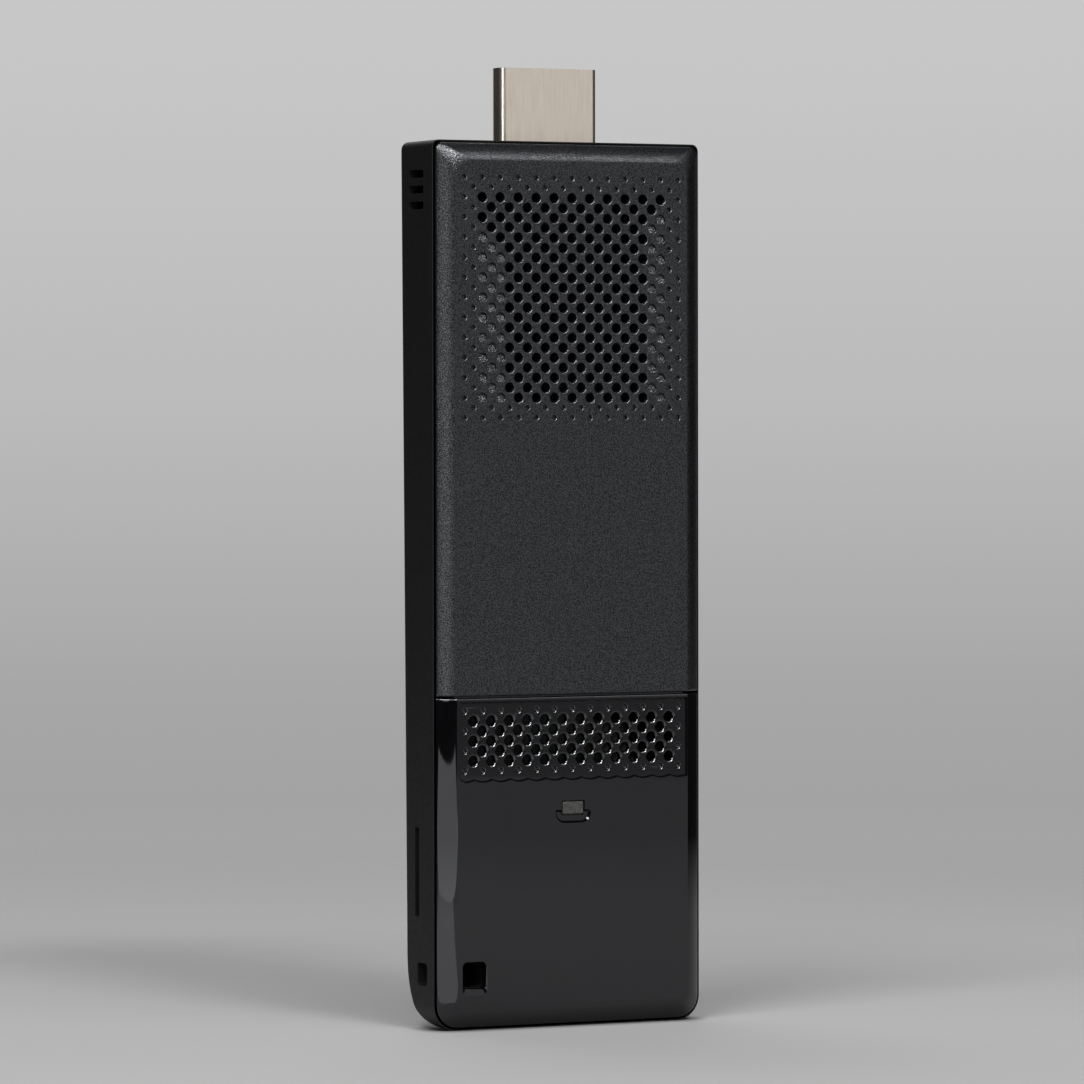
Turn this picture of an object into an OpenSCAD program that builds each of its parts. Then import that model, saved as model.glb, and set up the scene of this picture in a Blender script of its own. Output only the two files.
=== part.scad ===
// Stick computer with a video plug on its end, standing on its foot.
// X runs across the front, Y from the front to the back and Z up towards the plug.
// A depth is always measured backwards from the front face.

/* [Case] */
// Width across the front
case_w = 38; // [37:0.5:42]
// Length without the plug
case_l = 113; // [111:0.5:122]
// Thickness at the plug end
case_t = 12; // [11.7:0.1:13.5]
// Thickness just above the tail
foot_t = 10.5; // [10.2:0.1:11.2]
// Wall of the shell and the covers
wall = 1.2; // [1:0.05:1.4]
// Width of the rolled front edge at the sides and the top
edge_w = 2.65; // [2.2:0.05:3]
// Width of the rolled front edge at the foot
foot_edge_w = 2.95; // [2.2:0.05:3.4]
// Depth of the rolled edge, where the covers meet the shell
edge_d = 1.7; // [1.5:0.05:1.9]
// Fullness of the rolled edge, 1 is a plain chamfer
edge_power = 1.6; // [1.2:0.1:2]
// Radius of the long back edges
back_r = 1.5; // [1:0.1:2]
// Radius of the curved tail
tail_r = 8; // [7:0.1:8.4]
// Radius of the bottom corners, seen from the front
foot_r = 3.2; // [2.4:0.1:4]
// Radius of the top corners, seen from the front
top_r = 0.9; // [0.6:0.1:1.4]
// Height of the seam between the two covers
seam_z = 42.4; // [41.8:0.1:43]
// Open line at the seam
seam_gap = 0.2; // [0.1:0.05:0.3]
// Thickness of the clips that hold the covers
clip_t = 0.8; // [0.6:0.1:1]
// Width of one clip
clip_w = 2.2; // [1.6:0.1:2.4]
// Reach of the clips behind the parting line
clip_reach = 1.9; // [1.4:0.1:2.2]

/* [Hole fields] */
// Pitch of the staggered holes
pitch = 2.54; // [2.4:0.02:2.6]
// Diameter of the through holes and the blind ones
hole_d = 1.25; // [1:0.05:1.4]
// Diameter of the small dimples round the fields
dimple_d = 0.8; // [0.6:0.05:1]
// Depth of the dimples and the blind holes
dimple_deep = 0.3; // [0.2:0.05:0.5]
// Rows in the upper field
upper_rows = 25; // [21:2:27]
// First upper row below the top of the case
upper_drop = 4.7; // [4.4:0.1:5.4]
// Rows in the lower field
lower_rows = 7; // [5:2:7]
// First lower row below the seam
lower_drop = 1.75; // [1.6:0.05:2]

/* [Openings in the left wall] */
// Height of one side vent
vent_h = 1; // [0.8:0.1:1.2]
// Width of one side vent, front to back
vent_w = 4.2; // [3.6:0.1:4.6]
// Distance between side vents
vent_step = 2; // [1.8:0.1:2.2]
// First side vent below the top of the case
vent_drop = 4.2; // [4:0.1:5]
// Depth of the middle of the side vents
vent_depth = 6.4; // [6:0.1:6.8]
// Length of the card slot
slot_l = 11.6; // [11.2:0.1:12]
// Height of the card slot
slot_t = 1.2; // [1:0.05:1.3]
// Middle of the card slot above the foot
slot_z = 19.9; // [19.6:0.1:20.2]
// Width of the lanyard hole in the front
lanyard_w = 3.2; // [2.8:0.1:3.6]
// Height of the lanyard hole
lanyard_h = 3.3; // [2.8:0.1:3.6]
// Lanyard hole from the left side
lanyard_side = 3.4; // [3.2:0.1:3.8]
// Lanyard hole above the foot
lanyard_z = 5.4; // [5:0.1:5.6]
// Slope below the lanyard hole
lanyard_ramp = 0.85; // [0.5:0.05:1]
// Depth where the lanyard turns to the side
lanyard_turn = 3.6; // [3.4:0.1:3.8]
// Width of the lanyard opening in the side
lanyard_side_w = 2.8; // [2.4:0.1:3]

/* [Status window] */
// Width of the window
window_w = 2.95; // [2.6:0.05:3.2]
// Height of the window
window_h = 1.6; // [1.4:0.05:1.8]
// Middle of the window above the foot
window_z = 28; // [27.6:0.1:28.4]
// Width of the dish below the window
dish_w = 4.8; // [4.4:0.1:5.2]
// Height of the dish
dish_h = 1.6; // [1.2:0.1:1.8]
// Depth of the dish
dish_deep = 0.25; // [0.15:0.05:0.4]

/* [Video plug] */
// Width of the plug
plug_w = 13.9; // [13.7:0.05:14]
// Overall thickness of the plug
plug_t = 4.45; // [4.3:0.05:4.55]
// Height of the plug's straight sides
plug_side = 2.7; // [2.5:0.05:2.8]
// Length outside the case
plug_out = 9.6; // [9:0.1:11]
// Length inside the case
plug_in = 6.2; // [5.8:0.1:6.4]
// Sheet of the plug shell
plug_sheet = 0.3; // [0.25:0.05:0.4]

/* [Board] */
// Thickness of the circuit board
board_t = 1; // [0.8:0.1:1]
// Room behind the board at the foot
board_clear = 0.9; // [0.7:0.1:1]
// Gap between the board and the side walls
board_side = 0.8; // [0.5:0.1:1]
// Screw shank
screw_d = 1.4; // [1.2:0.1:1.6]
// Screw head
screw_head_d = 2.6; // [2.4:0.1:2.8]
// Thickness of a screw head
screw_head_t = 0.7; // [0.5:0.1:0.8]
// Side of the processor package
processor_w = 17; // [16:0.5:18]
// Middle of the processor above the foot
processor_z = 61.5; // [61:0.5:62.5]
// Thickness of the processor package
processor_t = 1.2; // [1:0.1:1.4]
// Thickness of the thermal pad
pad_t = 0.3; // [0.2:0.05:0.4]
// Sheet of the heat spreader
spreader_t = 0.7; // [0.5:0.1:0.9]

/* [Fan] */
// Outer radius of the fan housing
fan_r = 12.8; // [12.4:0.1:13]
// Middle of the fan right of the centre line
fan_x = 0.6; // [0.4:0.1:0.8]
// Middle of the fan below the top of the case
fan_drop = 20.3; // [20.1:0.1:21]
// Wall of the fan housing
fan_wall = 0.8; // [0.6:0.1:1]
// Intake hole of the fan lid
intake_r = 9.4; // [9:0.1:9.8]
// Radius of the hub
hub_r = 5.6; // [5.4:0.1:5.8]
// Radius at the blade tips
blade_r = 11.2; // [10.6:0.1:11.3]
// Number of blades
blade_count = 19; // [13:2:21]
// Blade thickness
blade_t = 0.45; // [0.35:0.05:0.6]
// Shaft diameter
shaft_d = 1.2; // [1:0.05:1.3]
// Running clearance round the shaft
shaft_gap = 0.02; // [0.02:0.01:0.04]

/* [Ports in the right wall] */
// Outer width of a USB shell
usb_w = 13.1; // [12.9:0.1:13.3]
// Outer height of a USB shell
usb_h = 5.7; // [5.5:0.05:5.9]
// Length of a USB shell
usb_l = 13.4; // [12.8:0.1:13.8]
// Sheet of the USB and power shells
port_sheet = 0.3; // [0.25:0.05:0.35]
// Middle of the lower USB port above the foot
usb_z = 16.2; // [16:0.1:16.6]
// Distance between the two USB ports
usb_step = 16.2; // [16:0.1:16.6]
// Width of the power inlet
inlet_w = 7.6; // [7.4:0.1:8]
// Height of the power inlet
inlet_h = 2.6; // [2.4:0.1:2.8]
// Length of the power inlet
inlet_l = 5; // [4.6:0.1:5.2]
// Middle of the power inlet above the foot
inlet_z = 49.8; // [49.4:0.1:50.2]
// Length of the power button
button_l = 6; // [5.4:0.1:6.4]
// Height of the power button
button_h = 2; // [1.8:0.1:2.2]
// Travel of the power button
button_travel = 0.35; // [0.2:0.05:0.4]
// Middle of the power button above the foot
button_z = 62; // [61.6:0.1:62.4]

/* [Hidden] */
$fn = 48;

// Colours
satin_black = [0.10, 0.10, 0.10];
matte_charcoal = [0.20, 0.20, 0.21];
gloss_black = [0.06, 0.06, 0.07];
nickel = [0.74, 0.70, 0.66];
steel = [0.62, 0.63, 0.65];
brass = [0.78, 0.60, 0.32];
copper = [0.78, 0.45, 0.28];
board_green = [0.05, 0.22, 0.14];
chip_black = [0.08, 0.08, 0.09];
pad_grey = [0.55, 0.60, 0.68];
ceramic_tan = [0.62, 0.50, 0.36];
smoke_grey = [0.45, 0.46, 0.44];

// Small values shared by several pieces
cut = 1;
fit = 0.1;
side_x = case_w / 2;
front_y = -case_t / 2;
inner_x = side_x - wall;
edge_steps = 8;
card_side = 1.2;
card_w = slot_l + 2 * card_side;
slant = atan((case_t - foot_t) / (case_l - tail_r));
function back_depth(z) = foot_t + (z - tail_r) * tan(slant);

// Depths of the stack behind the front
board_d = foot_t - wall - board_t - board_clear;
board_back = board_d + board_t;
processor_d = board_d - processor_t;
pad_d = processor_d - pad_t;
spreader_d = pad_d - spreader_t;

// Button and switch at the right wall, which the board parts line up with
flange_t = 0.6;
flange_over = 0.5;
flange_l = button_l + 2 * flange_over;
flange_x = inner_x - fit;
stem_l = 0.6;
stem_x = flange_x - flange_t - stem_l;
switch_gap = 0.2;
switch_front = stem_x - button_travel - switch_gap;
switch_l = 3.6;
switch_rear = switch_front - switch_l;

// Moves a shape to a depth behind the front face
module at_depth(d) {
    translate([0, front_y + d, 0])
        children();
}

// Extrudes a front-view outline (X, Z) backwards from a depth
module slab(d, thick) {
    at_depth(d + thick)
        rotate([90, 0, 0])
            linear_extrude(thick)
                children();
}

// Extrudes a side-view outline (depth, Z) from x0 to x1
module across(x0, x1) {
    translate([x0, front_y, 0])
        rotate([90, 0, 90])
            linear_extrude(x1 - x0)
                children();
}

// Extrudes a plan outline (X, depth) from z0 to z1
module upright(z0, z1) {
    translate([0, front_y, z0])
        linear_extrude(z1 - z0)
            children();
}

// Block centred on X and Z, from a depth backwards
module chip(x, z, w, h, d, thick) {
    at_depth(d)
        translate([x - w / 2, 0, z - h / 2])
            cube([w, thick, h]);
}

// Block between two X values and two depths, centred on Z
module bar(x0, x1, d0, d1, z, h) {
    at_depth(d0)
        translate([x0, 0, z - h / 2])
            cube([x1 - x0, d1 - d0, h]);
}

// Round rod along Y
module rod(x, z, d0, d1, dia, dia_end = 0) {
    at_depth(d0)
        translate([x, 0, z])
            rotate([-90, 0, 0])
                cylinder(h = d1 - d0, d1 = dia, d2 = dia_end > 0 ? dia_end : dia);
}

// Round tube along Y
module tube(x, z, d0, d1, outer, inner) {
    difference() {
        rod(x, z, d0, d1, outer);
        rod(x, z, d0 - cut, d1 + cut, inner);
    }
}

// Rectangle with round corners, the two lower ones and the two upper ones
module round_rect(w, h, r_low, r_high) {
    difference() {
        translate([-w / 2, 0])
            square([w, h]);
        for (s = [-1, 1]) {
            corner_cut(s * w / 2, 0, -s, 1, r_low);
            corner_cut(s * w / 2, h, -s, -1, r_high);
        }
    }
}

// What a round corner takes away: sx and sy point into the rectangle
module corner_cut(x, y, sx, sy, r) {
    translate([x, y])
        scale_sign(sx, sy)
            difference() {
                translate([-r, -r])
                    square(2 * r);
                translate([r, r])
                    circle(r);
                translate([r, -2 * r])
                    square(4 * r);
                translate([-2 * r, r])
                    square(4 * r);
            }
}

module scale_sign(sx, sy) {
    mirror([sx < 0 ? 1 : 0, 0])
        mirror([0, sy < 0 ? 1 : 0])
            children();
}

// Sweeps a round lead along points (X, Z) at one depth
function unit(v) = v / norm(v);
function lead_way(pts, i) = unit(pts[min(i + 1, len(pts) - 1)] - pts[max(i - 1, 0)]);
module lead(pts, d, dia, sides = 8) {
    n = len(pts);
    rings = [
        for (i = [0 : n - 1], s = [0 : sides - 1])
            let (way = lead_way(pts, i), a = 360 * s / sides, out = cos(a) * dia / 2)
            [pts[i][0] - way[1] * out, d + sin(a) * dia / 2, pts[i][1] + way[0] * out]
    ];
    skin = [
        for (i = [0 : n - 2], s = [0 : sides - 1])
            let (a = i * sides + s, b = i * sides + (s + 1) % sides)
            each [[a, b, b + sides], [a, b + sides, a + sides]]
    ];
    ends = [
        [for (s = [sides - 1 : -1 : 0]) s],
        [for (s = [0 : sides - 1]) (n - 1) * sides + s]
    ];
    translate([0, front_y, 0])
        polyhedron(points = rings, faces = concat(skin, ends));
}

// Case

// Point of the rolled front edge, t from the parting line to the flat front
function roll(t, w) = [w * t, edge_d * pow(1 - t, edge_power)];

module front_outline() {
    round_rect(case_w, case_l, foot_r, top_r);
}

module inner_outline() {
    translate([0, wall])
        round_rect(case_w - 2 * wall, case_l - 2 * wall, foot_r - wall / 2, top_r);
}

// Side view of the shell, inset by a wall: slanted back and round tail
module side_view(inset, front_d) {
    tail_d = foot_t - tail_r;
    low = back_depth(0) - inset;
    high = back_depth(case_l) - inset;
    difference() {
        side_view_sharp(inset, front_d, tail_d, low, high);
        if (inset == 0)
            corner_cut(high, case_l, -1, -1, top_r);
    }
}

module side_view_sharp(inset, front_d, tail_d, low, high) {
    intersection() {
        polygon([[front_d, inset], [low, inset], [high, case_l - inset], [front_d, case_l - inset]]);
        union() {
            translate([tail_d, tail_r])
                circle(tail_r - inset, $fn = 96);
            translate([front_d, tail_r])
                square([case_t, case_l]);
            translate([front_d, 0])
                square([tail_d - front_d, case_l]);
        }
    }
}

// Plan of the shell with its round back edges, leaning with the back
module leaning_plan() {
    translate([0, front_y + back_depth(0), 0])
        rotate([-slant, 0, 0])
            translate([0, 0, -tail_r])
                linear_extrude(case_l + 2 * tail_r)
                    translate([0, -2 * case_t])
                        round_rect(case_w, 2 * case_t, back_r, back_r);
}

module shell_body() {
    intersection() {
        slab(edge_d, 2 * case_t)
            front_outline();
        across(-case_w, case_w)
            side_view(0, edge_d);
        leaning_plan();
    }
}

module shell_hollow() {
    intersection() {
        slab(0, 2 * case_t)
            inner_outline();
        across(-case_w, case_w)
            side_view(wall, 0);
    }
}

vent_z = [for (i = [0 : 2]) case_l - vent_drop - i * vent_step];
lanyard_x = -side_x + lanyard_side + lanyard_w / 2;
lanyard_mid = lanyard_z + lanyard_h / 2;
lanyard_wall = 1.5;
lanyard_in = lanyard_x + lanyard_w / 2;
lanyard_back = lanyard_turn + lanyard_side_w;

// Corner block round the lanyard passage
module lanyard_block() {
    intersection() {
        shell_body();
        bar(-case_w, lanyard_in + lanyard_wall, edge_d, lanyard_back + lanyard_wall,
            lanyard_mid, lanyard_h + 2 * lanyard_wall);
    }
    bar(-side_x + rim, lanyard_in + lanyard_wall, wall + fit, edge_d + fit,
        lanyard_mid, lanyard_h + 2 * lanyard_wall);
}

module lanyard_passage() {
    bar(lanyard_x - lanyard_w / 2, lanyard_in, -cut, lanyard_back, lanyard_mid, lanyard_h);
    bar(-case_w, lanyard_in, lanyard_turn, lanyard_back, lanyard_mid, lanyard_h - 0.4);
}

// Screw places on the board: (X, Z)
board_screw_at = [[side_x - 5.5, case_l - 5], [1.2, 8.4], [0.8, 40.6]];
boss_d = 3.4;
boss_hole_d = screw_d + fit;
screw_end = board_back + board_clear - 2 * fit;

module screw_boss(p) {
    difference() {
        rod(p[0], p[1], board_back, back_depth(p[1]) - wall / 2, boss_d);
        rod(p[0], p[1], board_back - cut, screw_end + fit, boss_hole_d);
    }
}

module rear_shell() {
    color(satin_black) {
        difference() {
            shell_body();
            difference() {
                shell_hollow();
                lanyard_block();
            }
            lanyard_passage();
            for (z = vent_z)
                bar(-case_w, -inner_x + cut, vent_depth - vent_w / 2, vent_depth + vent_w / 2, z, vent_h);
            bar(-case_w, -inner_x + cut, card_mid - slot_t / 2, card_mid + slot_t / 2, slot_z, slot_l);
            upright(case_l - plug_in - fit, case_l + cut)
                plug_plan(-fit);
            for (z = usb_places)
                bar(inner_x - cut, case_w, usb_d - usb_h / 2 - fit, usb_d + usb_h / 2 + fit,
                    z, usb_w + 2 * fit);
            bar(inner_x - cut, case_w, board_d - inlet_h - fit, board_d + fit, inlet_z, inlet_w + 2 * fit);
            button_outline(inner_x - cut, case_w, fit);
        }
        for (p = concat(board_screw_at, fan_ear_at))
            screw_boss(p);
        difference() {
            lanyard_block();
            lanyard_passage();
        }
    }
}

// Covers

rim = wall + fit + clip_t;

// Closed block with the rolled front edges
module cover_block() {
    right = [for (i = [0 : edge_steps]) let (p = roll(i / edge_steps, edge_w)) [side_x - p[0], p[1]]];
    left = [for (i = [edge_steps : -1 : 0]) [-right[i][0], right[i][1]]];
    top = [for (i = [0 : edge_steps]) let (p = roll(i / edge_steps, edge_w)) [p[1], case_l - p[0]]];
    foot = [for (i = [edge_steps : -1 : 0]) let (p = roll(i / edge_steps, foot_edge_w)) [p[1], p[0]]];
    intersection() {
        slab(0, edge_d)
            front_outline();
        upright(-cut, case_l + cut)
            polygon(concat(right, left));
        across(-case_w, case_w)
            polygon(concat(top, foot));
    }
}

// Cover between two heights, hollowed behind its front
module cover_between(z0, z1) {
    difference() {
        intersection() {
            cover_block();
            chip(0, (z0 + z1) / 2, 2 * case_w, z1 - z0, -cut, case_t);
        }
        slab(wall, case_t)
            translate([0, rim])
                round_rect(case_w - 2 * rim, case_l - 2 * rim, top_r, top_r);
    }
}

// Hook inside one side wall: s is -1 at the left and 1 at the right
module clip(s, z) {
    outer = inner_x - fit;
    x0 = s < 0 ? -outer : outer - clip_t;
    bar(x0, x0 + clip_t, edge_d - fit, edge_d + clip_reach, z, clip_w);
}

// Hole fields: columns are counted from the left, rows from the top
columns = floor((case_w - 2 * edge_w - pitch / 2) / pitch) + 1;
function row_shift(r) = r % 2 == 1 ? 0 : 0.5;
function row_count(r) = columns - (r % 2 == 1 ? 0 : 1);
function column_x(c) = (c - (columns - 1) / 2) * pitch;
function at_row_end(i, r) = i == 0 || i == row_count(r) - 1;
function open_from(r) = max(1, min(2.5, (r - 3) / 2));
function open_to(r) = max(columns - 3, columns - 0.5 - r / 2);

module through_hole(x, z) {
    rod(x, z, -cut, wall + cut, hole_d);
}

module blind_hole(x, z) {
    rod(x, z, -cut, dimple_deep, hole_d);
}

module dimple(x, z) {
    rod(x, z, 0, dimple_deep, dimple_d, dimple_d / 3);
}

module upper_field() {
    for (r = [1 : upper_rows], i = [0 : row_count(r) - 1]) {
        c = i + row_shift(r);
        x = column_x(c);
        z = case_l - upper_drop - (r - 1) * pitch / 2;
        if (at_row_end(i, r) || r <= 2 || r >= upper_rows - 1)
            dimple(x, z);
        else if (c >= open_from(r) && c <= open_to(r))
            through_hole(x, z);
        else
            blind_hole(x, z);
    }
}

module lower_field() {
    for (r = [1 : lower_rows], i = [0 : row_count(r) - 1]) {
        x = column_x(i + row_shift(r));
        z = seam_z - lower_drop - (r - 1) * pitch / 2;
        if (r == 1 || r == lower_rows || (r % 2 == 1 && at_row_end(i, r)))
            dimple(x, z);
        else
            through_hole(x, z);
    }
}

upper_clip_z = [seam_z + 10, case_l - 17];

module front_cover() {
    color(matte_charcoal) {
        difference() {
            cover_between(seam_z + seam_gap / 2, case_l + cut);
            upper_field();
        }
        for (s = [-1, 1], z = upper_clip_z)
            clip(s, z);
    }
}

module window_dish() {
    slab(-cut, cut + dish_deep)
        translate([0, window_z - window_h / 2 - dish_h / 2 - fit])
            round_rect(dish_w, dish_h, dish_h / 2.2, dish_h / 8);
}

module lower_cover() {
    color(gloss_black) {
        difference() {
            cover_between(-cut, seam_z - seam_gap / 2);
            lower_field();
            chip(0, window_z, window_w + fit, window_h + fit, -cut, case_t);
            window_dish();
            lanyard_passage();
            across(lanyard_x - lanyard_w / 2, lanyard_in)
                polygon([[-cut, lanyard_z - lanyard_ramp], [0, lanyard_z - lanyard_ramp],
                         [wall, lanyard_z], [wall, lanyard_mid], [-cut, lanyard_mid]]);
        }
        clip(-1, seam_z - 7);
        clip(1, usb_z + usb_step / 2);
    }
}

led_t = 0.5;
pipe_flange = 0.6;

module light_pipe() {
    color(smoke_grey) {
        chip(0, window_z, window_w, window_h, fit, board_d - led_t - 2 * fit);
        chip(0, window_z, window_w + 2 * pipe_flange, window_h + 2 * pipe_flange, wall, spreader_t);
    }
}

module status_led() {
    color("white")
        chip(0, window_z, window_h, window_h / 2, board_d - led_t, led_t);
}

// Video plug

plug_d = board_d + board_t / 2 - plug_side / 2;
plug_rear = case_l - plug_in;
plug_end = case_l + plug_out;
plug_slot_x = 5.4;
contact_t = 0.15;
contact_w = 0.4;
contact_pitch = 1;
plug_tail = 1;
tab_w = 2;
tab_h = 2.4;
insulator_mouth = 0.6;
contact_mouth = 1.4;

// D-shaped plan of the plug, inset by a sheet
module plug_plan(inset) {
    half = plug_w / 2 - inset;
    slope = inset * (sqrt(2) - 1);
    narrow = plug_w / 2 - (plug_t - plug_side) - slope;
    straight = plug_d + plug_side - slope;
    rear = plug_d + plug_t - inset;
    polygon([[-half, plug_d + inset], [half, plug_d + inset], [half, straight],
             [narrow, rear], [-narrow, rear], [-half, straight]]);
}

module hdmi_shell() {
    color(nickel) {
        upright(plug_rear, plug_end)
            difference() {
                plug_plan(0);
                plug_plan(plug_sheet);
            }
        for (s = [-1, 1])
            chip(s * (plug_w / 2 + tab_w / 2 - plug_sheet / 2), plug_rear + tab_h / 2,
                 tab_w + plug_sheet, tab_h, board_d - plug_sheet, plug_sheet);
    }
}

module plug_slot() {
    bar(-plug_slot_x, plug_slot_x, board_d - contact_t, board_back + contact_t,
        (plug_rear + plug_end) / 2 + plug_in, plug_end - plug_rear);
}

module hdmi_insulator() {
    color(chip_black)
        difference() {
            upright(plug_rear, plug_end - insulator_mouth)
                plug_plan(plug_sheet);
            plug_slot();
            hdmi_contact_set();
        }
}

module hdmi_contact_set() {
    length = plug_end - contact_mouth - (plug_rear - plug_tail);
    middle = plug_rear - plug_tail + length / 2;
    for (i = [0 : 9])
        chip((i - 4.5) * contact_pitch, middle, contact_w, length, board_d - contact_t, contact_t);
    for (i = [0 : 8])
        chip((i - 4) * contact_pitch, middle, contact_w, length, board_back, contact_t);
}

module hdmi_contacts() {
    color(brass)
        hdmi_contact_set();
}

// Board and what is soldered on it

board_w = case_w - 2 * wall - 2 * board_side;
board_low = 5.6;
board_high = case_l - wall - board_side;
usb_d = foot_t / 2 + 0.25;
usb_places = [usb_z, usb_z + usb_step];
usb_mouth = side_x - 0.3;
usb_rear = usb_mouth - usb_l;

module board_outline() {
    ear = plug_w / 2 + fit;
    lanyard_top = lanyard_mid + lanyard_h / 2 + lanyard_wall + 2 * fit;
    difference() {
        translate([-board_w / 2, board_low])
            square([board_w, board_high - board_low]);
        translate([-ear, plug_rear - fit])
            square([2 * ear, case_l]);
        translate([-case_w, -cut])
            square([case_w + lanyard_in + lanyard_wall + 2 * fit, lanyard_top + cut]);
        for (z = usb_places)
            translate([usb_rear - fit, z - usb_w / 2 - fit])
                square([case_w, usb_w + 2 * fit]);
        translate([flange_x - flange_t - button_travel - 2 * fit, button_z - flange_l / 2 - 2 * fit])
            square([case_w, flange_l + 4 * fit]);
        for (p = concat(board_screw_at, fan_ear_at))
            translate(p)
                circle(d = screw_d + 2 * fit);
        for (p = spreader_screw_at)
            translate(p)
                circle(d = screw_d);
    }
}

module main_board() {
    color(board_green)
        slab(board_d, board_t)
            board_outline();
}

// Cross-head screw whose head rests at a depth
module screw(p, seat_d, end_d, dia) {
    difference() {
        union() {
            rod(p[0], p[1], seat_d - screw_head_t, seat_d, screw_head_d);
            rod(p[0], p[1], seat_d, end_d, dia);
        }
        for (a = [[1.6, 0.35], [0.35, 1.6]])
            chip(p[0], p[1], a[0], a[1], seat_d - screw_head_t - cut, cut + screw_head_t / 2);
    }
}

module board_screws() {
    color(steel)
        for (p = board_screw_at)
            screw(p, board_d, screw_end, screw_d);
}

// Column of power parts beside the switch, then the spreader and the processor under it
coil_gap = 0.55;
controller_w = 3.6;
controller_h = 4.6;
inductor_w = 4;
inductor_t = 1.8;
inductor_step = 5;
coil_column_x = switch_rear - coil_gap - controller_w / 2;
plate_gap = 0.3;
plate_over = 1.2;
plate_under = 1;
spreader_right = coil_column_x - inductor_w / 2 - plate_gap;
processor_x = spreader_right - plate_over - processor_w / 2;
die = 9;
die_t = 0.4;
pad_w = 12;

module processor() {
    color(board_green)
        chip(processor_x, processor_z, processor_w, processor_w, processor_d + die_t, processor_t - die_t);
    color(chip_black)
        chip(processor_x, processor_z, die, die, processor_d, die_t);
}

module thermal_pad() {
    color(pad_grey)
        chip(processor_x, processor_z, pad_w, pad_w, pad_d, pad_t);
}

// Heat spreader: a plate on the processor with an arm up the left side to the fins
fan_gap = 0.6;
fin_over = 0.4;
spreader_left = -inner_x + fin_over;
spreader_low = processor_z - processor_w / 2 - plate_under;
spreader_high = case_l - fan_drop - fan_r - fan_gap - 2 * fit;
fin_right = fan_x - fan_r - fan_gap;
arm_w = fin_right - fin_over - spreader_left;
arm_drop = 1.8;
arm_top = case_l - wall - arm_drop;
arm_d = board_d - spreader_t;
arm_bend = 4;
screw_edge = 2;
spreader_screw_at = [
    [spreader_left + screw_edge, spreader_low + screw_edge],
    [spreader_right - screw_edge, spreader_high - screw_edge]
];
spreader_screw_d = screw_d - 2 * fit;

module heat_spreader() {
    color(copper)
        difference() {
            union() {
                chip((spreader_left + spreader_right) / 2, (spreader_low + spreader_high) / 2,
                     spreader_right - spreader_left, spreader_high - spreader_low,
                     spreader_d, spreader_t);
                across(spreader_left, spreader_left + arm_w)
                    polygon([
                        [spreader_d, spreader_high - 1], [pad_d, spreader_high - 1],
                        [pad_d, spreader_high], [board_d, spreader_high + arm_bend],
                        [board_d, arm_top], [arm_d, arm_top],
                        [arm_d, spreader_high + arm_bend], [spreader_d, spreader_high]
                    ]);
            }
            for (p = spreader_screw_at)
                rod(p[0], p[1], spreader_d - cut, pad_d + cut, screw_d);
        }
}

fin_count = 6;
fin_t = 0.3;
fin_under = 1;
fin_low = case_l - vent_drop - 2 * vent_step - fin_under;
fin_front_gap = 0.9;
fin_front = wall + fin_front_gap;

module fin_stack() {
    fin_step = (arm_top - fin_t - fin_low) / (fin_count - 1);
    color(copper) {
        bar(spreader_left, fin_right, arm_d - fin_t, arm_d, (fin_low + arm_top) / 2, arm_top - fin_low);
        for (i = [0 : fin_count - 1])
            bar(spreader_left, fin_right, fin_front, arm_d - fin_t / 2,
                fin_low + i * fin_step + fin_t / 2, fin_t);
    }
}

module spreader_posts() {
    color(brass)
        for (p = spreader_screw_at)
            tube(p[0], p[1], pad_d, board_d, screw_head_d, screw_d);
}

module spreader_screws() {
    color(steel)
        for (p = spreader_screw_at)
            screw(p, spreader_d, board_back, spreader_screw_d);
}

chip_t = 1;
memory_w = 9;
memory_h = 7;
chip_edge = 1.2;
chip_gap = 1.4;
memory_left = -board_w / 2 + chip_edge + memory_w / 2;
memory_x = [memory_left, memory_left + memory_w + chip_gap];
memory_z = spreader_low - memory_h / 2 - chip_gap;
storage_w = 11.5;
storage_h = 13;
storage_x = -board_w / 2 + chip_edge + storage_w / 2;
storage_z = slot_z + card_w / 2 + storage_h / 2 + chip_gap;
crystal_w = 3.2;
crystal_h = 2.5;
cap_l = 1.6;
cap_w = 0.8;
cap_step = 2;

module memory_chips() {
    color(chip_black)
        for (x = memory_x)
            chip(x, memory_z, memory_w, memory_h, board_d - chip_t, chip_t);
}

module storage_chip() {
    color(chip_black)
        chip(storage_x, storage_z, storage_w, storage_h, board_d - chip_t, chip_t);
}

module power_controller() {
    color(chip_black)
        chip(coil_column_x, button_z, controller_w, controller_h, board_d - chip_t, chip_t);
}

module clock_crystal() {
    color(steel)
        chip(usb_rear + crystal_w / 4, usb_places[1] + usb_w / 2 + chip_t + crystal_h / 2,
             crystal_w, crystal_h, board_d - chip_t, chip_t);
}

module inductors() {
    color([0.25, 0.25, 0.26])
        for (i = [-1 : 1])
            chip(coil_column_x, inlet_z + i * inductor_step, inductor_w, inductor_w,
                 board_d - inductor_t, inductor_t);
}

module capacitors() {
    cap_row = 8;
    color(ceramic_tan)
        for (i = [0 : cap_row - 1]) {
            along = (i - (cap_row - 1) / 2) * cap_step;
            chip(processor_x + along, processor_z + processor_w / 2 + cap_l,
                 cap_w, cap_l, board_d - cap_w, cap_w);
            chip(processor_x - processor_w / 2 - cap_l, processor_z + along + cap_step,
                 cap_l, cap_w, board_d - cap_w, cap_w);
    }
}

// Wireless module with its antenna on the right wall

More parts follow.
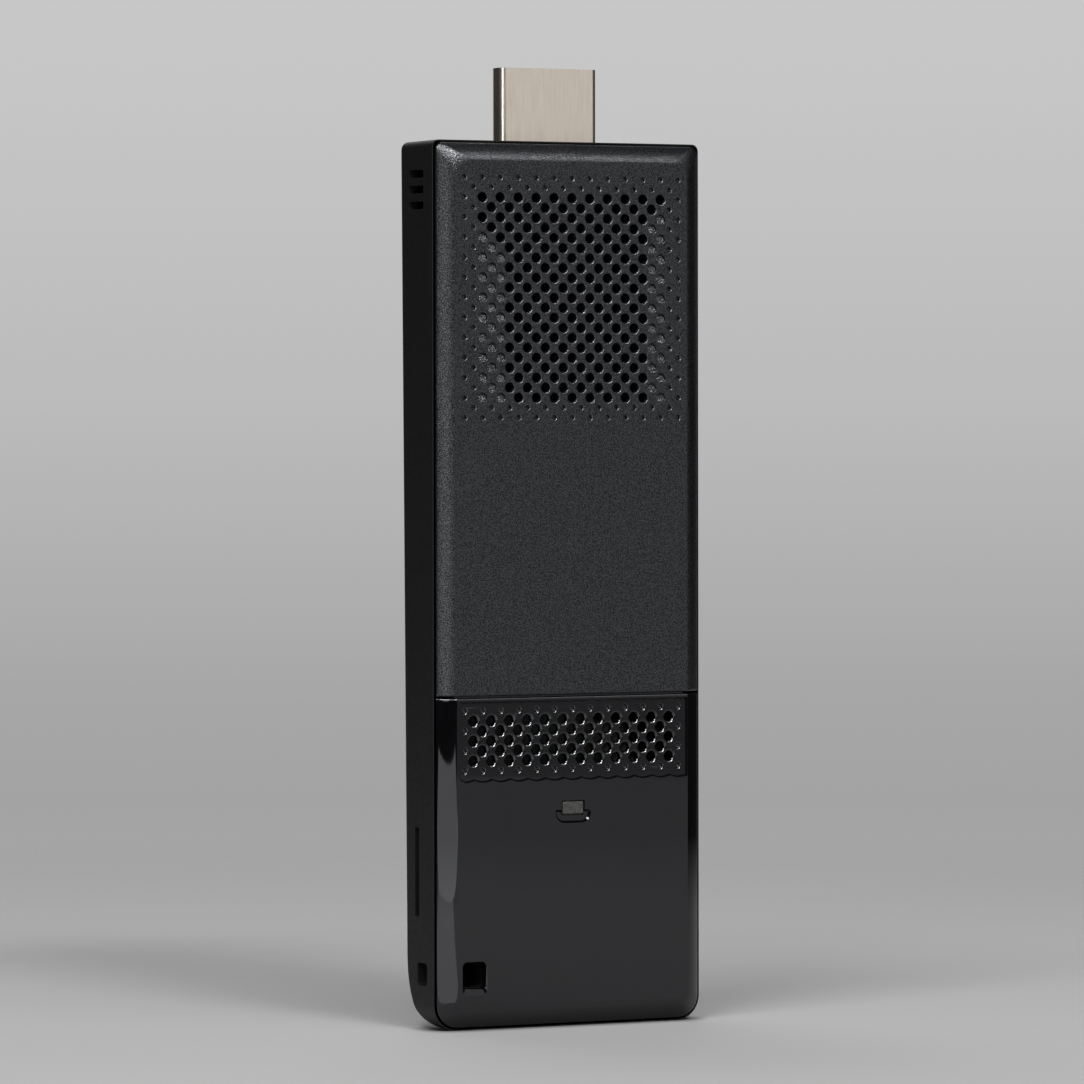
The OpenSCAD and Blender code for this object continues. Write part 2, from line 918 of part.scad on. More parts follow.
radio_w = 8;
radio_h = 9;
radio_t = 1.6;
radio_gap = 1.2;
radio_x = inner_x - radio_gap - radio_w / 2;
radio_z = button_z + button_l / 2 + radio_gap + radio_h / 2;
radio_top = board_d - radio_t;
antenna_t = 0.25;
antenna_drop = 31;
antenna_low = case_l - antenna_drop;
antenna_h = 21;
antenna_front = 0.6;
lead_d = 0.8;
lead_seat = radio_top - lead_d / 2;

module radio_module() {
    color(steel)
        chip(radio_x, radio_z, radio_w, radio_h, radio_top, radio_t);
}

module antenna() {
    color(ceramic_tan)
        bar(inner_x - antenna_t, inner_x, edge_d + clip_reach + antenna_front, board_d - 2 * fit,
            antenna_low + antenna_h / 2, antenna_h);
}

// Route of the antenna lead: from the module's corner to the foot of the antenna
antenna_end = [inner_x - antenna_t - lead_d / 2, antenna_low + 3];
antenna_way = [
    [radio_x + 2.6, radio_z + 2.4], [radio_x + 2.8, radio_z + 4.4], [radio_x + 3, radio_z + 6.4],
    antenna_end - [0.7, 5], antenna_end - [0.2, 2.6], antenna_end
];

module antenna_lead() {
    color("dimgray")
        lead(antenna_way, lead_seat, lead_d);
}

// Fan

fan_z = case_l - fan_drop;
lid_t = 0.4;
lid_d = wall + 0.4;
chamber_d = lid_d + lid_t;
floor_d = board_d - 0.8;
hub_d = chamber_d + 0.5;
hub_cap_t = 0.5;
hub_wall = 0.5;
run_gap = 0.4;
ear_r = 1.8;
ear_reach = fan_r + screw_head_d / 2 + 1.5 * fit;
ear_angle = 45;
fan_ear_at = [
    for (a = [-ear_angle, ear_angle, 180 + ear_angle])
        [fan_x + ear_reach * cos(a), fan_z + ear_reach * sin(a)]
];
outlet_h = 6;
bearing_r = 1.3;
post_r = 1.8;
magnet_t = 0.4;
post_d = hub_d + hub_cap_t + 0.7;

module at_fan() {
    translate([fan_x, fan_z])
        children();
}

// Round chamber with an outlet to the upper left, inset by a wall
module fan_outline(inset) {
    circle(fan_r - inset, $fn = 96);
    translate([-fan_r - (inset > 0 ? cut : 0), fan_r - outlet_h + inset])
        square([fan_r + (inset > 0 ? cut : 0), outlet_h - 2 * inset]);
}

module fan_housing() {
    color(chip_black) {
        difference() {
            union() {
                slab(floor_d, board_d - floor_d)
                    at_fan()
                        fan_outline(0);
                slab(chamber_d, floor_d - chamber_d)
                    at_fan()
                        difference() {
                            fan_outline(0);
                            fan_outline(fan_wall);
                        }
                for (p = fan_ear_at)
                    rod(p[0], p[1], floor_d, board_d, 2 * ear_r);
            }
            for (p = fan_ear_at)
                rod(p[0], p[1], floor_d - cut, board_d + cut, screw_d + 2 * fit);
        }
        tube(fan_x, fan_z, post_d, floor_d + fit, 2 * post_r, 2 * bearing_r);
    }
}

module fan_lid() {
    color(steel)
        slab(lid_d, lid_t)
            at_fan()
                difference() {
                    fan_outline(0);
                    circle(intake_r, $fn = 96);
                }
}

// One blade, curved backwards between the hub and the tip
module blade() {
    curve_r = 8;
    intersection() {
        translate([hub_r - blade_t, -curve_r])
            difference() {
                circle(curve_r);
                circle(curve_r - blade_t);
            }
        difference() {
            circle(blade_r);
            circle(hub_r - hub_wall / 2);
        }
        translate([0, -curve_r])
            square(2 * curve_r);
    }
}

module fan_rotor() {
    boss_d = 2 * bearing_r;
    rotor_end = floor_d - run_gap;
    color(chip_black) {
        difference() {
            rod(fan_x, fan_z, hub_d, rotor_end, 2 * hub_r);
            rod(fan_x, fan_z, hub_d + hub_cap_t, rotor_end + cut, 2 * (hub_r - hub_wall));
            rod(fan_x, fan_z, hub_d - cut, rotor_end, shaft_d);
        }
        tube(fan_x, fan_z, hub_d + hub_cap_t / 2, post_d - fit, boss_d, shaft_d);
        slab(hub_d + fit, rotor_end - hub_d - fit)
            at_fan()
                for (i = [0 : blade_count - 1])
                    rotate(360 * i / blade_count)
                        blade();
    }
}

module hub_ring() {
    ring_t = 0.2;
    color(brass)
        tube(fan_x, fan_z, hub_d - ring_t, hub_d, 2 * hub_r + 0.8, 2 * hub_r - 2);
}

module fan_magnet() {
    color([0.30, 0.30, 0.31])
        tube(fan_x, fan_z, hub_d + hub_cap_t, floor_d - run_gap,
             2 * (hub_r - hub_wall), 2 * (hub_r - hub_wall - magnet_t));
}

module fan_shaft() {
    color(steel)
        rod(fan_x, fan_z, hub_d, floor_d - fit, shaft_d);
}

module fan_bearing() {
    color(brass)
        tube(fan_x, fan_z, post_d, floor_d, 2 * bearing_r, shaft_d + 2 * shaft_gap);
}

pole_count = 6;
pole_r = hub_r - hub_wall - magnet_t - 0.3;
core_d0 = post_d + 0.4;
core_d1 = floor_d - 1;
coil_t = 0.35;
pole_w = 0.8;

module pole_arm(width, r0, r1) {
    for (i = [0 : pole_count - 1])
        rotate(360 * i / pole_count)
            translate([r0, -width / 2])
                square([r1 - r0, width]);
}

module fan_stator() {
    shoe_t = 0.4;
    color(steel)
        slab(core_d0, core_d1 - core_d0)
            at_fan()
                difference() {
                    union() {
                        circle(post_r + 0.6);
                        pole_arm(pole_w, post_r, pole_r - shoe_t / 2);
                        intersection() {
                            difference() {
                                circle(pole_r);
                                circle(pole_r - shoe_t);
                            }
                            pole_arm(3 * pole_w, post_r, 2 * pole_r);
                        }
                    }
                    circle(post_r);
                }
}

module fan_coils() {
    coil_in = post_r + 0.7;
    coil_out = pole_r - 0.5;
    color(copper)
        difference() {
            slab(core_d0 - coil_t, core_d1 - core_d0 + 2 * coil_t)
                at_fan()
                    pole_arm(pole_w + 2 * coil_t, coil_in, coil_out);
            slab(core_d0, core_d1 - core_d0)
                at_fan()
                    pole_arm(pole_w, post_r, pole_r);
        }
}

module fan_screws() {
    color(steel)
        for (p = fan_ear_at)
            screw(p, floor_d, screw_end, screw_d);
}

socket_w = 4.2;
socket_h = 2.6;
socket_t = 1.6;
socket_side = 2.1;
socket_x = inner_x - socket_side - socket_w / 2;
socket_z = fan_z - ear_reach * sin(ear_angle) - ear_r - 2 * fit - socket_h / 2;
fan_lead_d = 0.9;

module fan_socket() {
    color("ivory")
        chip(socket_x, socket_z, socket_w, socket_h, board_d - socket_t, socket_t);
}

// Route of the fan lead: from the housing wall round to the top of its socket
fan_lead_out = [fan_x + fan_r - 0.2, fan_z - 1];
fan_lead_way = [
    fan_lead_out, fan_lead_out + [1, -0.4], fan_lead_out + [1.7, -1.6], fan_lead_out + [1.8, -3.6],
    [socket_x, socket_z + 6.4], [socket_x, socket_z + 3.6], [socket_x, socket_z + socket_h / 2]
];

module fan_lead() {
    color("darkred")
        difference() {
            lead(fan_lead_way, board_d - socket_t / 2, fan_lead_d);
            rod(fan_x, fan_z, 0, case_t, 2 * fan_r);
        }
}

// Memory card socket behind the left slot

card_l = 14;
card_floor = 0.3;
card_mid = board_d - card_floor - slot_t / 2;
card_sheet = 0.2;
card_mouth = -inner_x + fit;
card_rear = card_mouth + card_l;
card_top = card_mid - slot_t / 2 - card_sheet;
rail = 0.8;
spring_w = 0.7;
spring_l = 4;
spring_t = 0.15;
spring_step = 1.1;
spring_end = 2;

module card_shell() {
    color(steel) {
        bar(card_mouth, card_rear, card_top, card_top + card_sheet, slot_z, card_w);
        for (s = [-1, 1])
            bar(card_mouth, card_rear, card_top, board_d,
                slot_z + s * (card_w / 2 - card_sheet / 2), card_sheet);
    }
}

module card_frame() {
    under = card_top + card_sheet;
    color(chip_black) {
        bar(card_mouth, card_rear, board_d - card_floor, board_d, slot_z, card_w - 2 * card_sheet);
        for (s = [-1, 1])
            bar(card_mouth, card_rear, under, board_d,
                slot_z + s * (card_w / 2 - card_sheet - rail / 2), rail);
        bar(card_rear - rail, card_rear, under, board_d, slot_z, card_w - 2 * card_sheet);
    }
}

module card_contacts() {
    color(brass)
        for (i = [0 : 7])
            bar(card_rear - spring_end - spring_l, card_rear - spring_end,
                board_d - card_floor - spring_t, board_d - card_floor,
                slot_z + (i - 3.5) * spring_step, spring_w);
}

// USB ports and the power inlet in the right wall

tongue_t = 1.84;
tongue_w = 11.1;
tongue_gap = 0.75;
usb_block_l = 4;
tongue_end = 0.8;
strip_t = 0.1;
strip_w = 1;
strip_inner = 1;
strip_outer = 3.5;
strip_end = 2.2;
short_w = 0.8;
short_step = 2;
short_l = 1;
tongue_d0 = usb_d - usb_h / 2 + port_sheet + tongue_gap;
tongue_d1 = tongue_d0 + tongue_t;

module usb_shell(z) {
    color(nickel)
        difference() {
            bar(usb_rear, usb_mouth, usb_d - usb_h / 2, usb_d + usb_h / 2, z, usb_w);
            bar(usb_rear + port_sheet, case_w, usb_d - usb_h / 2 + port_sheet,
                usb_d + usb_h / 2 - port_sheet, z, usb_w - 2 * port_sheet);
        }
}

module usb_tongue(z, tint) {
    color(tint) {
        bar(usb_rear + port_sheet, usb_rear + usb_block_l, usb_d - usb_h / 2 + port_sheet,
            usb_d + usb_h / 2 - port_sheet, z, usb_w - 2 * port_sheet);
        bar(usb_rear + usb_block_l - fit, usb_mouth - tongue_end, tongue_d0, tongue_d1, z, tongue_w);
    }
}

// Contact strips on the back of a tongue, with a second short row on the faster port
module usb_contact_rows(z, short_row) {
    short_start = usb_mouth - strip_end + 2 * fit;
    color(brass) {
        for (y = [-strip_outer, -strip_inner, strip_inner, strip_outer])
            bar(usb_rear + usb_block_l, usb_mouth - strip_end, tongue_d1, tongue_d1 + strip_t,
                z + y, strip_w);
        if (short_row)
            for (i = [-2 : 2])
                bar(short_start, short_start + short_l, tongue_d1, tongue_d1 + strip_t,
                    z + i * short_step, short_w);
    }
}

module usb3_shell() { usb_shell(usb_places[1]); }
module usb3_tongue() { usb_tongue(usb_places[1], [0.10, 0.25, 0.60]); }
module usb3_contacts() { usb_contact_rows(usb_places[1], true); }
module usb2_shell() { usb_shell(usb_places[0]); }
module usb2_tongue() { usb_tongue(usb_places[0], chip_black); }
module usb2_contacts() { usb_contact_rows(usb_places[0], false); }

inlet_mouth = side_x - 0.3;
inlet_rear = inlet_mouth - inlet_l;
inlet_block_l = 1.6;
inlet_tongue_t = 0.6;
inlet_tongue_end = 0.6;
inlet_strip_w = 0.35;
inlet_strip_step = 0.65;
inlet_mid = board_d - inlet_h / 2;

module inlet_shell() {
    color(nickel)
        difference() {
            bar(inlet_rear, inlet_mouth, board_d - inlet_h, board_d, inlet_z, inlet_w);
            bar(inlet_rear + port_sheet, case_w, board_d - inlet_h + port_sheet, board_d - port_sheet,
                inlet_z, inlet_w - 2 * port_sheet);
        }
}

module inlet_tongue() {
    color(chip_black) {
        bar(inlet_rear + port_sheet, inlet_rear + inlet_block_l, board_d - inlet_h + port_sheet,
            board_d - port_sheet, inlet_z, inlet_w - 2 * port_sheet);
        bar(inlet_rear + inlet_block_l - fit, inlet_mouth - inlet_tongue_end, inlet_mid - inlet_tongue_t / 2,
            inlet_mid + inlet_tongue_t / 2, inlet_z, inlet_w / 2);
    }
}

module inlet_contacts() {
    color(brass)
        for (i = [-2 : 2])
            bar(inlet_rear + inlet_block_l, inlet_mouth - short_l, inlet_mid + inlet_tongue_t / 2,
                inlet_mid + inlet_tongue_t / 2 + strip_t, inlet_z + i * inlet_strip_step, inlet_strip_w);
}

// Power button and its switch

switch_t = 2.2;
button_mid = board_d - switch_t / 2;
button_slack = 0.12;
plunger_l = 1.6;
plunger_w = 2;
plunger_h = 1;

// Bar with round ends along Z, from x0 to x1, grown by a gap
module button_outline(x0, x1, grow) {
    across(x0, x1)
        translate([button_mid, button_z]) {
            for (s = [-1, 1])
                translate([0, s * (button_l - button_h) / 2])
                    circle(d = button_h + 2 * grow);
            translate([-button_h / 2 - grow, -(button_l - button_h) / 2])
                square([button_h + 2 * grow, button_l - button_h]);
        }
}

module power_button() {
    color(gloss_black) {
        button_outline(flange_x - fit, side_x, fit - button_slack);
        bar(flange_x - flange_t, flange_x, button_mid - button_h / 2 - flange_over,
            button_mid + button_h / 2 + flange_over, button_z, flange_l);
        bar(stem_x, flange_x - flange_t + fit, button_mid - plunger_h / 2, button_mid + plunger_h / 2,
            button_z, plunger_w);
    }
}

module switch_plunger() {
    color("ivory")
        bar(stem_x - plunger_l, stem_x, button_mid - plunger_h / 2, button_mid + plunger_h / 2,
            button_z, plunger_w);
}

module switch_body() {
    pocket = stem_x - plunger_l - button_travel - fit;
    color(steel)
        difference() {
            bar(switch_rear, switch_front, board_d - switch_t, board_d, button_z, switch_l);
            bar(pocket, switch_front + cut, button_mid - plunger_h / 2 - fit,
                button_mid + plunger_h / 2 + fit, button_z, plunger_w + 2 * fit);
        }
}

rear_shell();
front_cover();
lower_cover();
light_pipe();
status_led();
hdmi_shell();
hdmi_insulator();
hdmi_contacts();
main_board();
board_screws();
processor();
thermal_pad();
heat_spreader();
fin_stack();
spreader_posts();
spreader_screws();
memory_chips();
storage_chip();
power_controller();
clock_crystal();
inductors();
capacitors();
radio_module();
antenna();
antenna_lead();
fan_housing();
fan_lid();
fan_rotor();
hub_ring();
fan_magnet();
fan_shaft();
fan_bearing();
fan_stator();
fan_coils();
fan_screws();
fan_socket();
fan_lead();
card_shell();
card_frame();
card_contacts();
usb3_shell();
usb3_tongue();
usb3_contacts();
usb2_shell();
usb2_tongue();
usb2_contacts();
inlet_shell();
inlet_tongue();
inlet_contacts();
power_button();
switch_plunger();
switch_body();
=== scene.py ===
import math

import bmesh
import bpy
from mathutils import Matrix, Vector


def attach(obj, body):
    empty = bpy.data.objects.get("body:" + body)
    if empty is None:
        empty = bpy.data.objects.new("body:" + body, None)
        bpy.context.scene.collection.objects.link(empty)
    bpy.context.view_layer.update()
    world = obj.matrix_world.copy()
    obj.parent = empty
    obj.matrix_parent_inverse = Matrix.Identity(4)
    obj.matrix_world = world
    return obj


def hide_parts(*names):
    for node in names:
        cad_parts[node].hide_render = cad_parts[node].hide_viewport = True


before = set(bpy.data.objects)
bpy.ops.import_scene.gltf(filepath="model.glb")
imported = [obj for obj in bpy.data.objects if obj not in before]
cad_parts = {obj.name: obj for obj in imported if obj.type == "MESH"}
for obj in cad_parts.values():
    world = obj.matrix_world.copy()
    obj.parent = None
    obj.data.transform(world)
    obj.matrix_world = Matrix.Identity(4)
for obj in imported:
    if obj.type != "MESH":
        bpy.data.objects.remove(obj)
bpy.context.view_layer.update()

scene = bpy.context.scene
scene.view_settings.view_transform = "Standard"
print("frame loaded:", len(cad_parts), "nodes")

# Sizes are in millimetres while a piece is modelled, and its mesh goes to metres at the end.
# X runs across the front, Y from the front to the back, Z up to the plug.
toMetres = Matrix.Scale(0.001, 4)

case = {
    "halfWidth": 19.0,
    "length": 113.0,
    "frontY": -6.0,
    "partingY": -4.3,      # where the covers meet the tub
    "wall": 1.2,
    "footRadius": 3.2,     # bottom corners seen from the front
    "topRadius": 0.9,
    "footThick": 10.5,     # at the top of the tail
    "topThick": 12.0,
    "tailTall": 8.9,       # height and first depth of the curved tail
    "tailFrom": 2.1,
}


def addFace(bm, points):
    return bm.faces.new([bm.verts.new(point) for point in points])


def roundCorners(bm, verts, radius, segments):
    bmesh.ops.bevel(bm, geom=verts, offset=radius, offset_type="OFFSET", segments=segments,
                    profile=0.5, affect="VERTICES", material=-1)


def roundEdges(bm, edges, radius, segments, clamp=True):
    bmesh.ops.bevel(bm, geom=edges, offset=radius, offset_type="OFFSET", segments=segments,
                    profile=0.5, affect="EDGES", material=-1, clamp_overlap=clamp)


def makeObject(name, bm):
    mesh = bpy.data.meshes.new(name)
    bm.to_mesh(mesh)
    bm.free()
    made = bpy.data.objects.new(name, mesh)
    scene.collection.objects.link(made)
    return made


# Replaces the mesh by what its modifiers make of it
def settle(piece):
    evaluated = piece.evaluated_get(bpy.context.evaluated_depsgraph_get())
    mesh = bpy.data.meshes.new_from_object(evaluated)
    piece.modifiers.clear()
    old = piece.data
    piece.data = mesh
    bpy.data.meshes.remove(old)


def carve(piece, bm, operation="DIFFERENCE"):
    tool = makeObject("carvingTool", bm)
    modifier = piece.modifiers.new("carve", "BOOLEAN")
    modifier.operation = operation
    modifier.solver = "MANIFOLD"
    modifier.object = tool
    settle(piece)
    mesh = tool.data
    bpy.data.objects.remove(tool)
    bpy.data.meshes.remove(mesh)


# Loop of edges round a mesh at one height; what lies below or above it may go
def cutAt(bm, z, below=False, above=False):
    bmesh.ops.bisect_plane(bm, geom=bm.verts[:] + bm.edges[:] + bm.faces[:], dist=1e-5,
                           plane_co=(0, 0, z), plane_no=(0, 0, 1),
                           clear_inner=below, clear_outer=above)


# Gives a skin its wall, on its inner side
def thicken(piece, thickness):
    wall = piece.modifiers.new("wall", "SOLIDIFY")
    wall.thickness = thickness
    wall.offset = -1.0
    wall.use_even_offset = True
    settle(piece)


def roundMouth(piece, radius, segments):
    edge = piece.modifiers.new("mouth", "BEVEL")
    edge.width = radius
    edge.segments = segments
    edge.limit_method = "ANGLE"
    edge.angle_limit = math.radians(50)
    settle(piece)


# Box between two corners, with the edges along one axis rounded
def addBox(bm, low, high, radius=0.0, axis=0, segments=4):
    low, high = Vector(low), Vector(high)
    size = high - low
    place = Matrix.Translation((low + high) / 2) @ Matrix.Diagonal((*size, 1.0))
    verts = bmesh.ops.create_cube(bm, size=1.0, matrix=place)["verts"]
    if radius:
        edges = dict.fromkeys(edge for vert in verts for edge in vert.link_edges)
        along = [edge for edge in edges
                 if abs((edge.verts[1].co - edge.verts[0].co).normalized()[axis]) > 0.99]
        roundEdges(bm, along, radius, segments)


def boxes(*items):
    bm = bmesh.new()
    for item in items:
        addBox(bm, *item)
    return bm


# Closed round shape on the Y axis from a profile of (radius, y)
def lathe(profile, steps):
    bm = bmesh.new()
    verts = [bm.verts.new((radius, y, 0.0)) for radius, y in profile]
    edges = [bm.edges.new(pair) for pair in zip(verts, verts[1:])]
    bmesh.ops.spin(bm, geom=verts + edges, cent=(0, 0, 0), axis=(0, 1, 0), angle=2 * math.pi,
                   steps=steps, use_merge=True)
    bmesh.ops.remove_doubles(bm, verts=bm.verts[:], dist=1e-4)
    bmesh.ops.recalc_face_normals(bm, faces=bm.faces[:])
    return bm


# Copies of a shape at (x, z) places, added to bm
def scatter(bm, shape, places):
    mesh = bpy.data.meshes.new("scattered")
    shape.to_mesh(mesh)
    shape.free()
    for x, z in places:
        start = len(bm.verts)
        bm.from_mesh(mesh)
        bm.verts.ensure_lookup_table()
        bmesh.ops.translate(bm, verts=bm.verts[start:], vec=(x, 0.0, z))
    bpy.data.meshes.remove(mesh)


# Smooth faces with sharp edges over an angle, and flat faces that stay flat beside round ones
def shade(piece, degrees=35.0):
    bm = bmesh.new()
    bm.from_mesh(piece.data)
    bmesh.ops.remove_doubles(bm, verts=bm.verts[:], dist=1e-5)
    bmesh.ops.dissolve_degenerate(bm, edges=bm.edges[:], dist=1e-5)
    for face in bm.faces:
        face.smooth = True
    for edge in bm.edges:
        edge.smooth = edge.is_manifold and edge.calc_face_angle(0.0) < math.radians(degrees)
    bm.to_mesh(piece.data)
    bm.free()
    weighted = piece.modifiers.new("weighted", "WEIGHTED_NORMAL")
    weighted.mode = "FACE_AREA"
    weighted.weight = 80
    weighted.keep_sharp = True


def finishPiece(piece, nodes, body, material):
    shade(piece)
    piece.data.transform(toMetres)
    piece.data.materials.clear()
    piece.data.materials.append(material)
    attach(piece, body)
    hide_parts(*nodes)
    print("piece", piece.name, len(piece.data.polygons), "faces")


# Finishes


def newMaterial(name):
    material = bpy.data.materials.new(name)
    material.use_nodes = True
    nodes = material.node_tree.nodes
    return material, nodes, material.node_tree.links, nodes["Principled BSDF"]


# Noise on Object coordinates, stretched per axis
def objectNoise(nodes, links, scale, stretch=(1, 1, 1), detail=2.0, roughness=0.5):
    coords = nodes.new("ShaderNodeTexCoord")
    mapping = nodes.new("ShaderNodeMapping")
    mapping.inputs["Scale"].default_value = stretch
    noise = nodes.new("ShaderNodeTexNoise")
    noise.inputs["Scale"].default_value = scale
    noise.inputs["Detail"].default_value = detail
    noise.inputs["Roughness"].default_value = roughness
    links.new(coords.outputs["Object"], mapping.inputs["Vector"])
    links.new(mapping.outputs["Vector"], noise.inputs["Vector"])
    return noise.outputs["Fac"]


def ramp(nodes, links, source, stops):
    node = nodes.new("ShaderNodeValToRGB")
    elements = node.color_ramp.elements
    while len(elements) < len(stops):
        elements.new(0.5)
    for element, (position, colour) in zip(elements, stops):
        element.position = position
        element.color = (*colour, 1.0)
    links.new(source, node.inputs["Fac"])
    return node.outputs["Color"]


def mapRange(nodes, links, source, low, high, fromLow=0.3, fromHigh=0.7):
    node = nodes.new("ShaderNodeMapRange")
    node.inputs["From Min"].default_value = fromLow
    node.inputs["From Max"].default_value = fromHigh
    node.inputs["To Min"].default_value = low
    node.inputs["To Max"].default_value = high
    links.new(source, node.inputs["Value"])
    return node.outputs["Result"]


# Mix of two colours: its factor, both colours and its result
def colourMix(nodes):
    node = nodes.new("ShaderNodeMix")
    node.data_type = "RGBA"
    return node.inputs[0], node.inputs[6], node.inputs[7], node.outputs[2]


def bump(nodes, links, shader, height, strength, distance):
    node = nodes.new("ShaderNodeBump")
    node.inputs["Strength"].default_value = strength
    node.inputs["Distance"].default_value = distance
    links.new(height, node.inputs["Height"])
    links.new(node.outputs["Normal"], shader.inputs["Normal"])


# One finish: two colours mixed by a grain, roughness that varies with it, and a fine bump
def grainFinish(name, dark, light, rough, grain, stretch=(1, 1, 1), metallic=0.0, depth=2e-5,
                strength=0.3, spread=(0.35, 0.65), detail=2.0, specular=0.5, sparkle=None,
                extra=()):
    material, nodes, links, shader = newMaterial(name)
    shader.inputs["Metallic"].default_value = metallic
    shader.inputs["Specular IOR Level"].default_value = specular
    for socket, value in extra:
        shader.inputs[socket].default_value = value
    noise = objectNoise(nodes, links, grain, stretch, detail)
    colour = ramp(nodes, links, noise, [(spread[0], dark), (spread[1], light)])
    links.new(colour, shader.inputs["Base Color"])
    links.new(mapRange(nodes, links, noise, rough[0], rough[1]), shader.inputs["Roughness"])
    if sparkle:
        level = mapRange(nodes, links, noise, sparkle[0], sparkle[1], *spread)
        links.new(level, shader.inputs["Specular IOR Level"])
    bump(nodes, links, shader, noise, strength, depth)
    return material


# Dark and light colour, roughness at each of them, and the grain's scale
mattePaint = grainFinish("mattePaint", (0.0012, 0.0013, 0.0016), (0.0056, 0.0060, 0.0070),
                         (0.31, 0.28), 6200, depth=8.5e-5, strength=0.55, spread=(0.37, 0.63),
                         detail=1.0, sparkle=(0.3, 0.98),
                         extra=[("Specular Tint", (0.97, 0.99, 1.04, 1.0))])
satinBlack = grainFinish("satinBlack", (0.0044, 0.0037, 0.0037), (0.0060, 0.0051, 0.0051),
                         (0.54, 0.46), 2600, depth=1.5e-5, strength=0.2, specular=0.25)
glossBlack = grainFinish("glossBlack", (0.0012, 0.0012, 0.0015), (0.0018, 0.0018, 0.0022),
                         (0.015, 0.024), 240, depth=4e-6, strength=0.25, specular=0.66,
                         extra=[("Specular Tint", (0.98, 0.99, 1.03, 1.0))])
nickelPlate = grainFinish("nickelPlate", (0.83, 0.735, 0.645), (0.90, 0.81, 0.715),
                          (0.27, 0.32), 900, stretch=(6, 6, 0.22), metallic=1.0,
                          depth=3e-6, strength=0.2, detail=3.0)
steelSheet = grainFinish("steelSheet", (0.50, 0.51, 0.53), (0.66, 0.67, 0.69), (0.3, 0.45), 1400,
                         stretch=(1, 4, 4), metallic=1.0, depth=4e-6, strength=0.2)
brassPlate = grainFinish("brassPlate", (0.62, 0.40, 0.16), (0.84, 0.60, 0.29), (0.22, 0.36), 1700,
                         metallic=1.0, depth=4e-6, strength=0.2)
copperPlate = grainFinish("copperPlate", (0.52, 0.22, 0.11), (0.76, 0.38, 0.22), (0.28, 0.45),
                          1300, stretch=(1, 1, 5), metallic=1.0, depth=4e-6, strength=0.2)
boardMask = grainFinish("boardMask", (0.004, 0.018, 0.011), (0.008, 0.040, 0.022), (0.32, 0.46),
                        1100, stretch=(1, 1, 0.12), depth=1.2e-5, strength=0.4,
                        spread=(0.46, 0.54))
# Painted shade: a darker copy of brass for the fan's ring, set to how bright its glints are behind
# the holes
shadedHubBrass = grainFinish("shadedHubBrass", (0.40, 0.28, 0.15), (0.75, 0.56, 0.33), (0.5, 0.36), 1300,
                       metallic=1.0, depth=4e-6, strength=0.2)
# Painted shade: brass made dark so that the plug's contacts show no glints through the holes
shadedContactBrass = grainFinish("shadedContactBrass", (0.20, 0.13, 0.05), (0.34, 0.23, 0.10), (0.4, 0.55),
                           1700, metallic=1.0, depth=4e-6, strength=0.2)
chipEpoxy = grainFinish("chipEpoxy", (0.008, 0.008, 0.009), (0.016, 0.016, 0.017), (0.6, 0.48),
                        3800, depth=2e-5, strength=0.3)
padSilicone = grainFinish("padSilicone", (0.20, 0.25, 0.33), (0.30, 0.35, 0.43), (0.75, 0.6),
                          1500, depth=3e-5, strength=0.3)
ceramicTan = grainFinish("ceramicTan", (0.26, 0.17, 0.09), (0.40, 0.29, 0.17), (0.5, 0.36), 2400,
                         depth=1e-5, strength=0.25)
portBlue = grainFinish("portBlue", (0.006, 0.035, 0.21), (0.010, 0.055, 0.29), (0.42, 0.32), 2800,
                       depth=1e-5, strength=0.2)
leadRubber = grainFinish("leadRubber", (0.012, 0.012, 0.013), (0.024, 0.024, 0.025), (0.62, 0.5),
                         3000, depth=2e-5, strength=0.3)
socketNylon = grainFinish("socketNylon", (0.58, 0.53, 0.42), (0.68, 0.64, 0.54), (0.5, 0.38),
                          1800, depth=1e-5, strength=0.2)
windowSmoke = grainFinish("windowSmoke", (0.030, 0.031, 0.027), (0.051, 0.052, 0.047), (0.3, 0.2),
                          1500, depth=6e-6, strength=0.2, extra=[("Transmission Weight", 0.12)])


# Painted shade: black on the front of the sleeves inside the case, and where it ends, in metres
sleeveShade = {
    "frontY": (-0.0032, -0.0031),
    "insideX": (0.0176, 0.0177),
    "Base Color": (0.006, 0.006, 0.006, 1.0),
    "Roughness": (0.5, 0.5, 0.5, 1.0),
}


# Nickel with painted shade: black, not metallic, on the front of the sleeves inside the case
def shadedNickel():
    material = nickelPlate.copy()
    material.name = "shadedNickel"
    nodes, links = material.node_tree.nodes, material.node_tree.links
    shader = nodes["Principled BSDF"]
    coords = nodes.new("ShaderNodeTexCoord")
    split = nodes.new("ShaderNodeSeparateXYZ")
    links.new(coords.outputs["Object"], split.inputs["Vector"])
    front = mapRange(nodes, links, split.outputs["Y"], 1.0, 0.0, *sleeveShade["frontY"])
    inside = mapRange(nodes, links, split.outputs["X"], 1.0, 0.0, *sleeveShade["insideX"])
    inShade = nodes.new("ShaderNodeMath")
    inShade.operation = "MULTIPLY"
    links.new(front, inShade.inputs[0])
    links.new(inside, inShade.inputs[1])
    share = inShade.outputs["Value"]
    for socket in ("Base Color", "Roughness"):
        factor, bare, black, result = colourMix(nodes)
        black.default_value = sleeveShade[socket]
        links.new(share, factor)
        links.new(shader.inputs[socket].links[0].from_socket, bare)
        links.new(result, shader.inputs[socket])
    links.new(mapRange(nodes, links, share, 1.0, 0.0, 0.0, 1.0), shader.inputs["Metallic"])
    return material


# Nickel for the sleeves, with painted shade on their fronts inside the case
shadedSleeveNickel = shadedNickel()
print("finishes made")

# Covers

